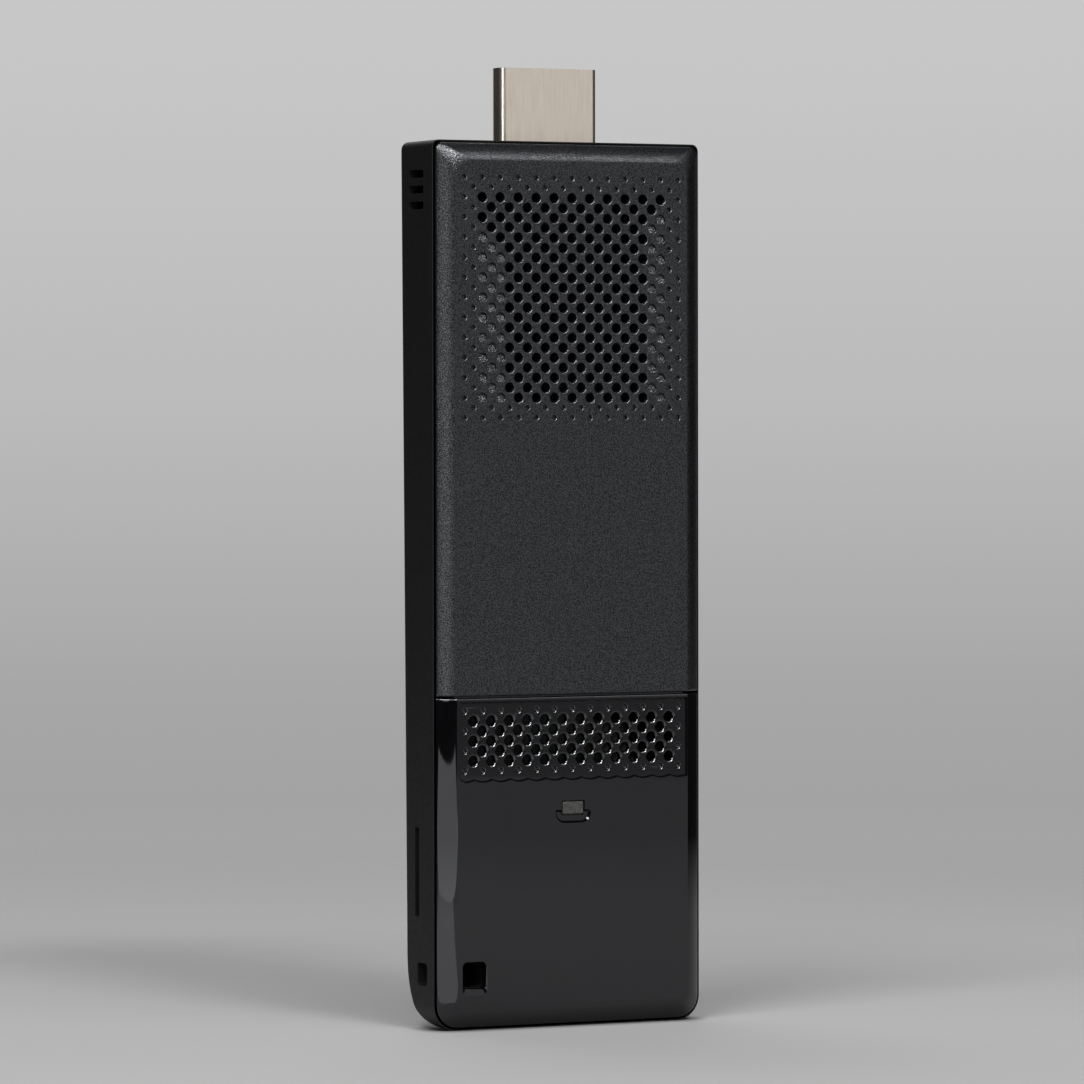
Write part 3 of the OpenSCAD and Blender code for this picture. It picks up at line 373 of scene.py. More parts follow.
roll = {
    "width": 2.65,
    "footWidth": 2.95,
    "depth": 1.7,
    "power": 1.6,
    "start": 0.2,          # share of the width where the curl at the rim ends
    "steps": 12,
    "curl": ((0.37, 0.02), (0.345, 0.09), (0.345, 0.22), (0.37, 0.31), (0.43, 0.40)),
    "innerRadius": 0.95,
    "topGrowth": 0.5,      # the top corners widen towards the flat front
    "footFlat": 0.85,      # how nearly the foot's edge is a plain chamfer
}
seam = {
    "z": 42.4,
    "gap": 0.2,
    "glossRadius": 0.3,
    "matteRadius": 0.28,
    "rimClear": 0.3,       # the rounding ends this far before the rim
    "loops": (0.06, 0.12),
}


# Face with rounded corners
def roundedFace(bm, points, radii, segments):
    others = set(bm.faces)
    verts = [bm.verts.new(point) for point in points]
    bm.faces.new(verts)
    for radius in sorted(set(radii)):
        alike = [vert for vert, own in zip(verts, radii) if own == radius]
        roundCorners(bm, alike, radius, segments)
    return next(face for face in bm.faces if face not in others)


# Solid through a row of faces with equal corner counts
def loft(bm, faces):
    for first, second in zip(faces, faces[1:]):
        bmesh.ops.bridge_loops(bm, edges=first.edges[:] + second.edges[:])
    bmesh.ops.delete(bm, geom=faces[1:-1], context="FACES_ONLY")
    bmesh.ops.recalc_face_normals(bm, faces=bm.faces[:])


# Profile of the covers' edge from the parting plane to the flat front, as (inset, rise)
def rollProfile():
    points = list(roll["curl"])
    for step in range(roll["steps"] + 1):
        share = roll["start"] + (1 - roll["start"]) * step / roll["steps"]
        left = max(0.0, 1 - share)
        points.append((roll["width"] * share, roll["depth"] * (1 - left ** roll["power"])))
    return points


# Closed block with the rolled front edge of both covers
def coverBlock():
    side, length, y = case["halfWidth"], case["length"], case["partingY"]
    bm = bmesh.new()
    rings = []
    curlInset, curlRise = roll["curl"][-1]
    for inset, rise in rollProfile():
        x, high = side - inset, length - inset
        low = inset * roll["footWidth"] / roll["width"]
        if rise > curlRise:
            slope = (rise - curlRise) / (roll["depth"] - curlRise)
            low += roll["footFlat"] * (curlInset + (roll["footWidth"] - curlInset) * slope - low)
        foot = max(case["footRadius"] - inset, roll["innerRadius"])
        top = case["topRadius"] + roll["topGrowth"] * inset
        corners = [(-x, y - rise, low), (x, y - rise, low),
                   (x, y - rise, high), (-x, y - rise, high)]
        rings.append(roundedFace(bm, corners, (foot, foot, top, top), 8))
    loft(bm, rings)
    return bm


# Cuts the block at the seam and keeps one side of it
def coverHalf(name, cutZ, keepUpper, radius):
    bm = coverBlock()
    cutAt(bm, cutZ, below=keepUpper, above=not keepUpper)
    bmesh.ops.holes_fill(bm, edges=[edge for edge in bm.edges if edge.is_boundary], sides=0)
    bmesh.ops.recalc_face_normals(bm, faces=bm.faces[:])
    lip = [edge for edge in bm.edges
           if all(abs(vert.co.z - cutZ) < 1e-4 for vert in edge.verts)
           and max(vert.co.y for vert in edge.verts) < case["partingY"] - seam["rimClear"]]
    roundEdges(bm, lip, radius, 4, False)
    side = 1 if keepUpper else -1
    for step in seam["loops"]:
        cutAt(bm, cutZ + side * (radius + step))
    return makeObject(name, bm)


holes = {
    "pitch": 2.54,
    "columns": 13,
    "upperRows": 25,
    "upperZ": 108.3,       # height of the first row
    "lowerRows": 7,
    "lowerZ": 40.65,
    "radius": 0.625,
    "throughDeep": 2.0,
    "above": 0.4,          # the tools stand this far out of the front
    # lips of the open holes, as (step outwards from the wall, depth)
    "upperLip": ((0.0, 0.125), (0.03, 0.075), (0.06, 0.053), (0.12, 0.023), (0.17, 0.0)),
    "lowerLip": ((0.0, 0.184), (0.06, 0.107), (0.11, 0.071), (0.22, 0.016), (0.27, 0.0)),
    # closed holes, dimples of the gloss cover and dents of the matte one, as (radius, depth)
    "blind": ((0.0, 0.34), (0.375, 0.34), (0.5875, 0.33), (0.625, 0.06), (0.655, 0.015),
              (0.685, 0.0)),
    "dimple": ((0.0, 0.5), (0.24, 0.48), (0.32, 0.41), (0.32, 0.1288), (0.3572, 0.0749),
               (0.3882, 0.0497), (0.4564, 0.0112), (0.4874, 0.0)),
    "bowl": ((0.0, 0.45), (0.19, 0.43), (0.23, 0.2), (0.28, 0.11), (0.34, 0.05), (0.4, 0.012),
             (0.43, 0.0)),
    "steps": {"through": 20, "blind": 20, "dimple": 14, "bowl": 12},
    "lean": 0.19,          # slope of the closed holes' floors
    "leanTo": (-0.6, 0.8),
}


# Turns the floor of a closed hole towards the upper left
def leanFloor(shape):
    x, z = holes["leanTo"]
    middle = case["frontY"] + holes["blind"][0][1] / 2
    for vert in shape.verts:
        if vert.co.y > middle:
            vert.co.y += holes["lean"] * (z * vert.co.z + x * vert.co.x)


# Closed turned shape of one kind of hole, up to a place before the front face
def holeShape(kind, lip):
    front, radius = case["frontY"], holes["radius"]
    if kind == "through":
        wall = [(0.0, holes["throughDeep"]), (radius, holes["throughDeep"])]
        profile = wall + [(radius + step, deep) for step, deep in lip]
    else:
        profile = holes[kind]
    points = [(reach, front + deep) for reach, deep in profile]
    above = front - holes["above"]
    shape = lathe(points + [(profile[-1][0], above), (0.0, above)], holes["steps"][kind])
    if kind == "blind":
        leanFloor(shape)
    return shape


# Places of a staggered field, as (row, column, isRowEnd, x, z)
def fieldPlaces(rows, topZ):
    for row in range(1, rows + 1):
        odd = row % 2 == 1
        count = holes["columns"] if odd else holes["columns"] - 1
        for index in range(count):
            column = index + (0.0 if odd else 0.5)
            x = (column - (holes["columns"] - 1) / 2) * holes["pitch"]
            z = topZ - (row - 1) * holes["pitch"] / 2
            yield row, column, index in (0, count - 1), x, z


def upperKind(row, column, isEnd):
    if isEnd or row <= 2 or row >= holes["upperRows"] - 1:
        return "bowl"
    openFrom = max(1, min(2.5, (row - 3) / 2))
    openTo = max(holes["columns"] - 3, holes["columns"] - 0.5 - row / 2)
    return "through" if openFrom <= column <= openTo else "blind"


def lowerKind(row, column, isEnd):
    if row in (1, holes["lowerRows"]) or (row % 2 == 1 and isEnd):
        return "dimple"
    return "through"


def fieldTool(rows, topZ, kindOf, lip, sink=0.0):
    places = {kind: [] for kind in holes["steps"]}
    for row, column, isEnd, x, z in fieldPlaces(rows, topZ):
        places[kindOf(row, column, isEnd)].append((x, z))
    bm = bmesh.new()
    for kind in places:
        if places[kind]:
            scatter(bm, holeShape(kind, lip), places[kind])
    bmesh.ops.translate(bm, verts=bm.verts[:], vec=(0, sink, 0))
    return bm


hollow = {"rim": 2.1, "deep": 3.0, "corner": 0.9, "pastSeam": 5.0}
hook = {
    "width": 2.2,
    "thick": 0.8,
    "reach": 1.9,
    "overlap": 0.1,
    "clear": 0.1,          # to the tub's wall
    # side and height
    "upper": ((-1, 52.4), (-1, 96.0), (1, 52.4), (1, 96.0)),
    "lower": ((-1, 35.4), (1, 24.3)),
}


# Hollow behind a cover
def hollowCover(piece, lowZ, highZ):
    front = case["frontY"] + case["wall"]
    side = case["halfWidth"] - hollow["rim"]
    back = front + hollow["deep"]
    carve(piece, boxes(((-side, front, lowZ), (side, back, highZ), hollow["corner"], 1)))


# Hooks that hold a cover in the tub
def addHooks(piece, places):
    half, thick, y = hook["width"] / 2, hook["thick"], case["partingY"]
    outer = case["halfWidth"] - case["wall"] - hook["clear"]
    hooks = []
    for side, z in places:
        x = side * (outer - thick / 2)
        hooks.append(((x - thick / 2, y - hook["overlap"], z - half),
                      (x + thick / 2, y + hook["reach"], z + half)))
    carve(piece, boxes(*hooks), "UNION")


frontCover = coverHalf("front_cover_shell", seam["z"] + seam["gap"] / 2, True, seam["matteRadius"])
hollowCover(frontCover, seam["z"] - hollow["pastSeam"], case["length"] - hollow["rim"])
addHooks(frontCover, hook["upper"])
carve(frontCover, fieldTool(holes["upperRows"], holes["upperZ"], upperKind, holes["upperLip"]))
finishPiece(frontCover, ["front_cover"], "case", mattePaint)

lanyard = {
    "left": -15.6,
    "right": -12.4,
    "low": 5.4,
    "high": 8.7,
    "corner": 0.6,
    # passage with a slope below it, as (depth, flare, lowest height)
    "rings": ((-0.5, 0.14, 4.45), (0.0, 0.14, 4.45), (0.03, 0.098, 4.61), (0.085, 0.056, 4.87),
              (0.155, 0.021, 5.12), (0.235, 0.0, 5.36), (1.2, 0.0, 5.4), (2.5, 0.0, 5.4)),
    # block round the passage in the tub, and its top behind the cover, as two corners each
    "block": ((-18.4, -4.25, 3.9), (-10.9, 1.9, 10.2)),
    "blockTop": ((-16.85, -4.7, 3.9), (-10.9, -4.2, 10.2)),
    "cutFrom": -7.0,
    "cutTo": 0.4,
}
window = {
    "z": 28.0,
    "width": 2.95,
    "height": 1.6,
    "gap": 0.16,
    "gapCorner": 0.2,
    "sunk": 0.02,
    "deep": 6.8,
    "corner": 0.18,
    "soften": 0.12,
    "flange": 0.6,
    "flangeFrom": 1.25,
    "flangeTo": 1.9,
    "flangeCorner": 0.3,
}
dish = {"halfWidth": 2.5, "low": 26.05, "high": 27.75, "corner": 1.3, "deep": 0.34, "slope": 0.28,
        "steps": 6}
panel = {
    "side": 16.2,
    "low": 31.78,
    "high": 41.76,
    "lobe": 0.27,
    "deep": 0.3,
    "slope": 0.2,
    "steps": 10,
    "corner": ((-0.35, 0.05), (0.0, 0.5)),
    "ease": 0.3,           # of the upper left corner
    "runOut": 16.5,        # where the straight right side ends
    "runDrop": 0.1,
}
# strip of the lower cover that lies behind the upper one
tongue = {"halfWidth": 16.4, "frontY": -4.85, "backY": -4.4, "below": 1.2, "above": 1.1}


# Shallow recess with sloping walls from an outline of (x, z) points on the front face
def recessTool(outline, deep, slope):
    front, above = case["frontY"], 0.3
    bm = bmesh.new()
    face = addFace(bm, [(x, front - above, z) for x, z in outline])
    face = bmesh.ops.extrude_face_region(bm, geom=[face])["geom"]
    face = next(item for item in face if isinstance(item, bmesh.types.BMFace))
    bmesh.ops.translate(bm, verts=face.verts[:], vec=(0, above, 0))
    bmesh.ops.inset_region(bm, faces=[face], thickness=slope, use_even_offset=True)
    bmesh.ops.translate(bm, verts=face.verts[:], vec=(0, deep, 0))
    bmesh.ops.recalc_face_normals(bm, faces=bm.faces[:])
    return bm


# Cup below the window, round at its lower corners
def dishOutline():
    half, radius, steps = dish["halfWidth"], dish["corner"], dish["steps"]
    right = []
    for step in range(steps + 1):
        angle = math.radians(90 * step / steps)
        right.append((half - radius + radius * math.sin(angle),
                      dish["low"] + radius - radius * math.cos(angle)))
    left = [(-x, z) for x, z in reversed(right)]
    return left + right + [(half, dish["high"]), (-half, dish["high"])]


# Panel round the lower holes: a lobe below each column of dimples and beside each row of them
def panelOutline():
    pitch, steps = holes["pitch"], panel["steps"]
    edge, low, high, ease = panel["side"], panel["low"], panel["high"], panel["ease"]
    half = (holes["columns"] - 1) / 2
    firstZ = holes["lowerZ"] - (holes["lowerRows"] - 1) * pitch / 2
    bottom = []
    for step in range(-int(half * steps), int(half * steps) + 1):
        x = step * pitch / steps
        bottom.append((x, low - panel["lobe"] * abs(math.cos(math.pi * x / pitch))))
    side = []
    for step in range(2, 3 * steps + 2):
        lobe = abs(math.cos(math.pi * step / steps))
        side.append((edge + panel["lobe"] * lobe, firstZ + step * pitch / steps))
    corner = [(edge + x, low + z) for x, z in panel["corner"]]
    left = corner + side + [(edge, high - ease), (edge - ease, high)]
    right = [(panel["runOut"], low - panel["runDrop"]), (panel["runOut"], high)]
    return bottom + right + [(-x, z) for x, z in reversed(left)]


# Passage with a slope below it
def lanyardTool():
    middle = (lanyard["left"] + lanyard["right"]) / 2
    half = (lanyard["right"] - lanyard["left"]) / 2
    bm = bmesh.new()
    faces = []
    for deep, flare, low in lanyard["rings"]:
        y, x = case["frontY"] + deep, half + flare
        high, radius = lanyard["high"] + flare, lanyard["corner"] + flare
        corners = [(middle - x, y, low), (middle + x, y, low),
                   (middle + x, y, high), (middle - x, y, high)]
        faces.append(roundedFace(bm, corners, (radius,) * 4, 5))
    loft(bm, faces)
    return bm


# Opening for the window, a gap wider than the window itself
def windowTool():
    x = window["width"] / 2 + window["gap"]
    tall = window["height"] / 2 + window["gap"]
    front, z = case["frontY"], window["z"]
    return boxes(((-x, front - 1, z - tall), (x, front + 2, z + tall), window["gapCorner"], 1))


def tongueTool():
    x, z = tongue["halfWidth"], seam["z"]
    return boxes(((-x, tongue["frontY"], z - tongue["below"]),
                  (x, tongue["backY"], z + tongue["above"])))


lowerCover = coverHalf("lower_cover_shell", seam["z"] - seam["gap"] / 2, False, seam["glossRadius"])
hollowCover(lowerCover, hollow["rim"], seam["z"] + hollow["pastSeam"])
addHooks(lowerCover, hook["lower"])
carve(lowerCover, tongueTool(), "UNION")
carve(lowerCover, recessTool(panelOutline(), panel["deep"], panel["slope"]))
lowerField = fieldTool(holes["lowerRows"], holes["lowerZ"], lowerKind, holes["lowerLip"],
                       panel["deep"])
carve(lowerCover, lowerField)
carve(lowerCover, recessTool(dishOutline(), dish["deep"], dish["slope"]))
carve(lowerCover, windowTool())
carve(lowerCover, lanyardTool())
finishPiece(lowerCover, ["lower_cover"], "case", glossBlack)

# Tub

tub = {
    "backRadius": 1.5,
    "tailCuts": (0.12, 0.45, 1.0, 1.7, 2.5, 3.4, 4.5, 5.7, 7.2, 8.9),
    "rimLip": 0.13,
    "rimStep": 0.35,
    "rimAbove": 0.5,
    "edge": 0.1,           # rounding asked for at edges that turn more than the sharp angle
    "sharp": 50.0,
    "rimClear": 0.05,
}


# Depth of the back below the front face at a height: curved tail, then the leaning back
def backDepth(z):
    tail = case["tailTall"]
    if z < tail:
        swing = math.sqrt(max(0.0, 1 - ((tail - z) / tail) ** 2))
        return case["tailFrom"] + (case["footThick"] - case["tailFrom"]) * swing
    lean = (case["topThick"] - case["footThick"]) / (case["length"] - tail)
    return case["footThick"] + (z - tail) * lean


def tubSkin():
    side, length, y = case["halfWidth"], case["length"], case["partingY"]
    bm = bmesh.new()
    face = addFace(bm, [(-side, y, 0), (side, y, 0), (side, y, length), (-side, y, length)])
    roundCorners(bm, [vert for vert in face.verts if vert.co.z < 1], case["footRadius"], 10)
    roundCorners(bm, [vert for vert in bm.verts if vert.co.z > length - 1], case["topRadius"], 5)
    for z in tub["tailCuts"]:
        cutAt(bm, z)
    full = case["topThick"] + case["frontY"] - y
    radius = tub["backRadius"]
    rings = [(full - radius, 0.0)]
    for angle in range(15, 91, 15):
        turn = math.radians(angle)
        rings.append((full - radius + radius * math.sin(turn), radius * (1 - math.cos(turn))))
    faces = bm.faces[:]
    deep, inset = 0.0, 0.0
    for nextDeep, nextInset in rings:
        grown = bmesh.ops.extrude_face_region(bm, geom=faces)["geom"]
        verts = [item for item in grown if isinstance(item, bmesh.types.BMVert)]
        faces = [item for item in grown if isinstance(item, bmesh.types.BMFace)]
        bmesh.ops.translate(bm, verts=verts, vec=(0, nextDeep - deep, 0))
        bmesh.ops.scale(bm, verts=verts, vec=((side - nextInset) / (side - inset), 1,
                                              (length - nextInset) / (length - inset)))
        deep, inset = nextDeep, nextInset
    # the front and the layers that the extrusions leave inside go
    spare = []
    for item in bm.faces:
        depths = [vert.co.y for vert in item.verts]
        if item not in faces and max(depths) - min(depths) < 1e-4:
            spare.append(item)
    bmesh.ops.delete(bm, geom=spare, context="FACES")
    for vert in bm.verts:
        share = (vert.co.y - y) / full
        vert.co.y = y + share * (backDepth(vert.co.z) + case["frontY"] - y)
    bmesh.ops.recalc_face_normals(bm, faces=bm.faces[:])
    return makeObject("rear_tub", bm)


# Step inside the rim, so that a dark gap is left round the covers
def rimTool():
    lip = tub["rimLip"]
    x, high, y = case["halfWidth"] - lip, case["length"] - lip, case["partingY"]
    foot, top = case["footRadius"] - lip, case["topRadius"] - lip
    bm = bmesh.new()
    faces = []
    for at in (y - tub["rimAbove"], y + tub["rimStep"]):
        corners = [(-x, at, lip), (x, at, lip), (x, at, high), (-x, at, high)]
        faces.append(roundedFace(bm, corners, (foot, foot, top, top), 8))
    loft(bm, faces)
    return bm


bosses = {
    "radius": 1.7,
    "bore": 0.75,
    "from": 8.4,           # depth of their front ends, and of the bores' floors
    "boreTo": 9.2,
    "board": ((13.5, 108.0), (1.2, 8.4), (0.8, 40.6)),
    "fan": (0.6, 92.7),    # middle of the fan, and how far round it the screws are
    "fanReach": 14.25,
}


# Round bosses for the screws, from the board to the back wall
def bossTool():
    front, outer, bore = case["frontY"], bosses["radius"], bosses["bore"]
    start, floor = front + bosses["from"], front + bosses["boreTo"]
    fanX, fanZ = bosses["fan"]
    reach = bosses["fanReach"] * math.sqrt(0.5)
    round45 = [(fanX + reach, fanZ - reach), (fanX + reach, fanZ + reach),
               (fanX - reach, fanZ - reach)]
    bm = bmesh.new()
    for x, z in list(bosses["board"]) + round45:
        end = front + backDepth(z) - case["wall"] / 2
        profile = [(bore, start), (outer, start), (outer, end), (0.0, end), (0.0, floor),
                   (bore, floor), (bore, start)]
        scatter(bm, lathe(profile, 20), [(x, z)])
    return bm


plug = {
    "halfWidth": 6.95,
    "frontDeep": 6.55,
    "side": 2.7,           # depth of the straight sides, before they bend inwards
    "thick": 4.45,
    "bend": 0.41,          # tangent of half the bend
    "low": 106.8,
    "high": 122.6,
    "sheet": 0.3,
    "corner": 0.85,
    "mouth": 0.09,
    "clear": 0.1,          # round the plug in the tub's top wall
    "hole": (106.7, 114.0),
    "feetX": ((6.8, 8.95), (-8.95, -6.8)),
    "feetY": (1.1, 1.4),
    "feetTall": 2.4,
    "seamHalf": 0.06,
    "seamDeep": 0.12,
}


# D-shaped outline of the plug, as corner points at one height
def plugOutline(grow, z):
    front = case["frontY"] + plug["frontDeep"] - grow
    half = plug["halfWidth"] + grow
    bend = front + grow + plug["side"] + grow * plug["bend"]
    rear = case["frontY"] + plug["frontDeep"] + plug["thick"] + grow
    narrow = plug["halfWidth"] - (plug["thick"] - plug["side"]) + grow * plug["bend"]
    return [(-half, front, z), (half, front, z), (half, bend, z),
            (narrow, rear, z), (-narrow, rear, z), (-half, bend, z)]


def plugPrism(grow, low, high, radius):
    bm = bmesh.new()
    face = addFace(bm, plugOutline(grow, low))
    roundCorners(bm, face.verts[:], radius, 5)
    face = bm.faces[:][0]
    grown = bmesh.ops.extrude_face_region(bm, geom=[face])["geom"]
    top = [item for item in grown if isinstance(item, bmesh.types.BMVert)]
    bmesh.ops.translate(bm, verts=top, vec=(0, 0, high - low))
    bmesh.ops.recalc_face_normals(bm, faces=bm.faces[:])
    return bm


# Side of the case, reach inwards, depths from the front, heights, corner radius and its steps
openings = {
    "highVent": (-1, 2.2, (4.3, 8.5), (108.3, 109.3), 0.25, 4),
    "middleVent": (-1, 2.2, (4.3, 8.5), (106.3, 107.3), 0.25, 4),
    "lowVent": (-1, 2.2, (4.3, 8.5), (104.3, 105.3), 0.25, 4),
    "cardSlot": (-1, 2.2, (5.9, 7.1), (14.1, 25.7), 0.3, 4),
    "lanyardEnd": (-1, 6.6, (3.6, 6.4), (5.6, 8.5), 0.5, 4),
    "lowerPort": (1, 2.2, (2.55, 8.45), (9.55, 22.85), 0.55, 4),
    "upperPort": (1, 2.2, (2.55, 8.45), (25.75, 39.05), 0.55, 4),
    "powerPort": (1, 2.2, (4.7, 7.5), (45.9, 53.7), 0.7, 4),
    "buttonHole": (1, 2.2, (5.2, 7.4), (58.9, 65.1), 1.09, 8),
}


def sideOpenings():
    front, wall = case["frontY"], case["halfWidth"]
    bm = bmesh.new()
    for side, reach, depths, heights, radius, steps in openings.values():
        low, high = sorted((side * (wall - reach), side * (wall + 1)))
        addBox(bm, (low, front + depths[0], heights[0]), (high, front + depths[1], heights[1]),
               radius, 0, steps)
    return bm


rearTub = tubSkin()
thicken(rearTub, case["wall"])
carve(rearTub, rimTool())
carve(rearTub, bossTool(), "UNION")
carve(rearTub, boxes(lanyard["block"]), "UNION")
carve(rearTub, boxes(lanyard["blockTop"]), "UNION")
carve(rearTub, sideOpenings())
carve(rearTub, boxes(((lanyard["left"], lanyard["cutFrom"], lanyard["low"]),
                      (lanyard["right"], lanyard["cutTo"], lanyard["high"]),
                      lanyard["corner"], 1)))
carve(rearTub, plugPrism(plug["clear"], *plug["hole"], plug["corner"]))


# Meant to ease the openings' sharp edges. The clamp leaves the bevel no width, so they stay sharp,
# and the mesh has flat and missing faces afterwards
def easeEdges(piece, radius):
    bm = bmesh.new()
    bm.from_mesh(piece.data)
    sharp = [edge for edge in bm.edges
             if edge.is_manifold and edge.calc_face_angle() > math.radians(tub["sharp"])
             and max(vert.co.y for vert in edge.verts) > case["partingY"] + tub["rimClear"]]
    roundEdges(bm, sharp, radius, 2)
    bm.to_mesh(piece.data)
    bm.free()


easeEdges(rearTub, tub["edge"])
finishPiece(rearTub, ["rear_shell"], "case", satinBlack)


# Plug shell: a bent sheet with a rolled mouth, and two feet that are soldered to the board
def plugShell():
    bm = plugPrism(0.0, plug["low"], plug["high"], plug["corner"])
    ends = [face for face in bm.faces
            if all(abs(vert.co.z - plug["low"]) < 1e-4 for vert in face.verts)
            or all(abs(vert.co.z - plug["high"]) < 1e-4 for vert in face.verts)]
    bmesh.ops.delete(bm, geom=ends, context="FACES")
    made = makeObject("plug_shell", bm)
    thicken(made, plug["sheet"])
    front, back = plug["feetY"]
    low, top = plug["low"], plug["low"] + plug["feetTall"]
    feet = [((left, front, low), (right, back, top)) for left, right in plug["feetX"]]
    carve(made, boxes(*feet), "UNION")
    rear = case["frontY"] + plug["frontDeep"] + plug["thick"]
    half = plug["seamHalf"]
    carve(made, boxes(((-half, rear - plug["seamDeep"], low - 1),
                       (half, rear + 1, plug["high"] + 1))))
    roundMouth(made, plug["mouth"], 3)
    return made


finishPiece(plugShell(), ["hdmi_shell"], "case", nickelPlate)


# Status window: a clear bar with a flange behind the cover
def windowBar():
    front, z, grow = case["frontY"], window["z"], window["flange"]
    half, tall = window["width"] / 2, window["height"] / 2
    bm = bmesh.new()
    addBox(bm, (-half, front + window["sunk"], z - tall), (half, front + window["deep"], z + tall),
           window["corner"], 1)
    face = min(bm.faces, key=lambda item: item.calc_center_median().y)
    roundEdges(bm, face.edges[:], window["soften"], 3)
    made = makeObject("status_window", bm)
    flange = boxes(((-half - grow, front + window["flangeFrom"], z - tall - grow),
                    (half + grow, front + window["flangeTo"], z + tall + grow),
                    window["flangeCorner"], 1))
    carve(made, flange, "UNION")
    return made


finishPiece(windowBar(), ["light_pipe"], "case", windowSmoke)

# Ports in the right wall: folded sheet sleeves, closed at the back


sleeve = {"mouth": 18.7, "sheet": 0.3, "edge": 0.08}
# node, depths from the front, height, width, length and corner radius
ports = {
    "lower_usb_sleeve": ("usb2_shell", (2.65, 8.35), 16.2, 13.1, 13.4, 0.5),
    "upper_usb_sleeve": ("usb3_shell", (2.65, 8.35), 32.4, 13.1, 13.4, 0.5),
    "power_sleeve": ("inlet_shell", (4.8, 7.4), 49.8, 7.6, 5.0, 0.65),
}


def portSleeve(name, depths, z, width, length, corner):
    front, mouth = case["frontY"], sleeve["mouth"]
    bm = bmesh.new()
    addBox(bm, (mouth - length, front + depths[0], z - width / 2),
           (mouth, front + depths[1], z + width / 2), corner, 0, 4)
    ends = [face for face in bm.faces if face.calc_center_median().x > mouth - 0.01]
    bmesh.ops.delete(bm, geom=ends, context="FACES_ONLY")
    made = makeObject(name, bm)
    thicken(made, sleeve["sheet"])
    roundMouth(made, sleeve["edge"], 2)
    return made


for portName, (shellNode, *sizes) in ports.items():
    finishPiece(portSleeve(portName, *sizes), [shellNode], "case", shadedSleeveNickel)

# Power button: a bar with round ends and a softly crowned face

button = {
    "deep": 6.3,
    "z": 62.0,
    "length": 5.96,
    "height": 1.96,
    "outer": 19.0,
    "roundEnds": 0.98,     # share of half the height
    "soften": 0.22,
    "flange": 17.7,        # outer face of the flange
    "flangeThick": 0.6,
    "flangeGrow": 0.5,
    "flangeHalf": 3.5,
    "flangeCorner": 0.4,
    "overlap": 0.1,
    "stemEnd": 1.2,        # behind the flange's outer face
    "stemHalf": (0.5, 1.0),
}


def buttonCap():
    y, z, flange = case["frontY"] + button["deep"], button["z"], button["flange"]
    half, tall = button["height"] / 2, button["length"] / 2
    bm = bmesh.new()
    addBox(bm, (flange - button["overlap"], y - half, z - tall),
           (button["outer"], y + half, z + tall), half * button["roundEnds"], 0, 8)
    face = max(bm.faces, key=lambda item: item.calc_center_median().x)
    roundEdges(bm, face.edges[:], button["soften"], 4)
    made = makeObject("power_button_cap", bm)
    wide, long = half + button["flangeGrow"], button["flangeHalf"]
    plate = boxes(((flange - button["flangeThick"], y - wide, z - long),
                   (flange, y + wide, z + long), button["flangeCorner"], 0))
    carve(made, plate, "UNION")
    stemY, stemZ = button["stemHalf"]
    inner = flange - button["flangeThick"] + button["overlap"]
    stem = boxes(((flange - button["stemEnd"], y - stemY, z - stemZ),
                  (inner, y + stemY, z + stemZ)))
    carve(made, stem, "UNION")
    return made


finishPiece(buttonCap(), ["power_button"], "button", glossBlack)

# Carried-over nodes get their finishes, and soft edges where they can be seen

nodeFinish = {
    "status_led": socketNylon,
    "hdmi_insulator": chipEpoxy,
    "hdmi_contacts": shadedContactBrass,
    "main_board": boardMask,
    "board_screws": steelSheet,
    "processor": chipEpoxy,
    "thermal_pad": padSilicone,
    "heat_spreader": copperPlate,
    "fin_stack": copperPlate,
    "spreader_posts": brassPlate,
    "spreader_screws": steelSheet,
    "memory_chips": chipEpoxy,
    "storage_chip": chipEpoxy,
    "power_controller": chipEpoxy,
    "clock_crystal": steelSheet,
    "inductors": leadRubber,
    "capacitors": ceramicTan,
    "radio_module": steelSheet,
    "antenna": ceramicTan,
    "antenna_lead": leadRubber,
    "fan_housing": chipEpoxy,
    "fan_lid": satinBlack,
    "fan_rotor": chipEpoxy,
    "hub_ring": shadedHubBrass,
    "fan_magnet": leadRubber,
    "fan_shaft": steelSheet,
    "fan_bearing": brassPlate,
    "fan_stator": steelSheet,
    "fan_coils": copperPlate,
    "fan_screws": steelSheet,
    "fan_socket": socketNylon,
    "fan_lead": leadRubber,
    "card_shell": steelSheet,
    "card_frame": chipEpoxy,
    "card_contacts": brassPlate,
    "usb3_tongue": portBlue,
    "usb3_contacts": brassPlate,
    "usb2_tongue": chipEpoxy,
    "usb2_contacts": brassPlate,
    "inlet_tongue": chipEpoxy,
    "inlet_contacts": brassPlate,
    "switch_plunger": socketNylon,
    "switch_body": steelSheet,
}
softEdge = {"width": 0.00006, "angle": 40.0, "weld": 1e-6}
softEdged = ("usb3_tongue", "usb2_tongue", "inlet_tongue", "hdmi_insulator", "card_shell",
             "hub_ring")

for nodeName, finish in nodeFinish.items():
    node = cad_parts[nodeName]
    if not node.material_slots:
        node.data.materials.append(finish)
    for slot in node.material_slots:
        slot.link = "OBJECT"
        slot.material = finish
    if nodeName in softEdged:
        weld = node.modifiers.new("weld", "WELD")
        weld.merge_threshold = softEdge["weld"]
        edge = node.modifiers.new("edges", "BEVEL")
        edge.width = softEdge["width"]
        edge.segments = 2
        edge.limit_method = "ANGLE"
        edge.angle_limit = math.radians(softEdge["angle"])
print("carried-over nodes finished:", len(nodeFinish))

# Stage

stage = {
    "floorRadius": 0.38,
    "floorFade": 0.2,      # radius where the floor begins to fade
    "floor": (0.31, 0.31, 0.31),
    "contactShadow": 0.0025,     # reach of the painted contact shadow under the foot
}
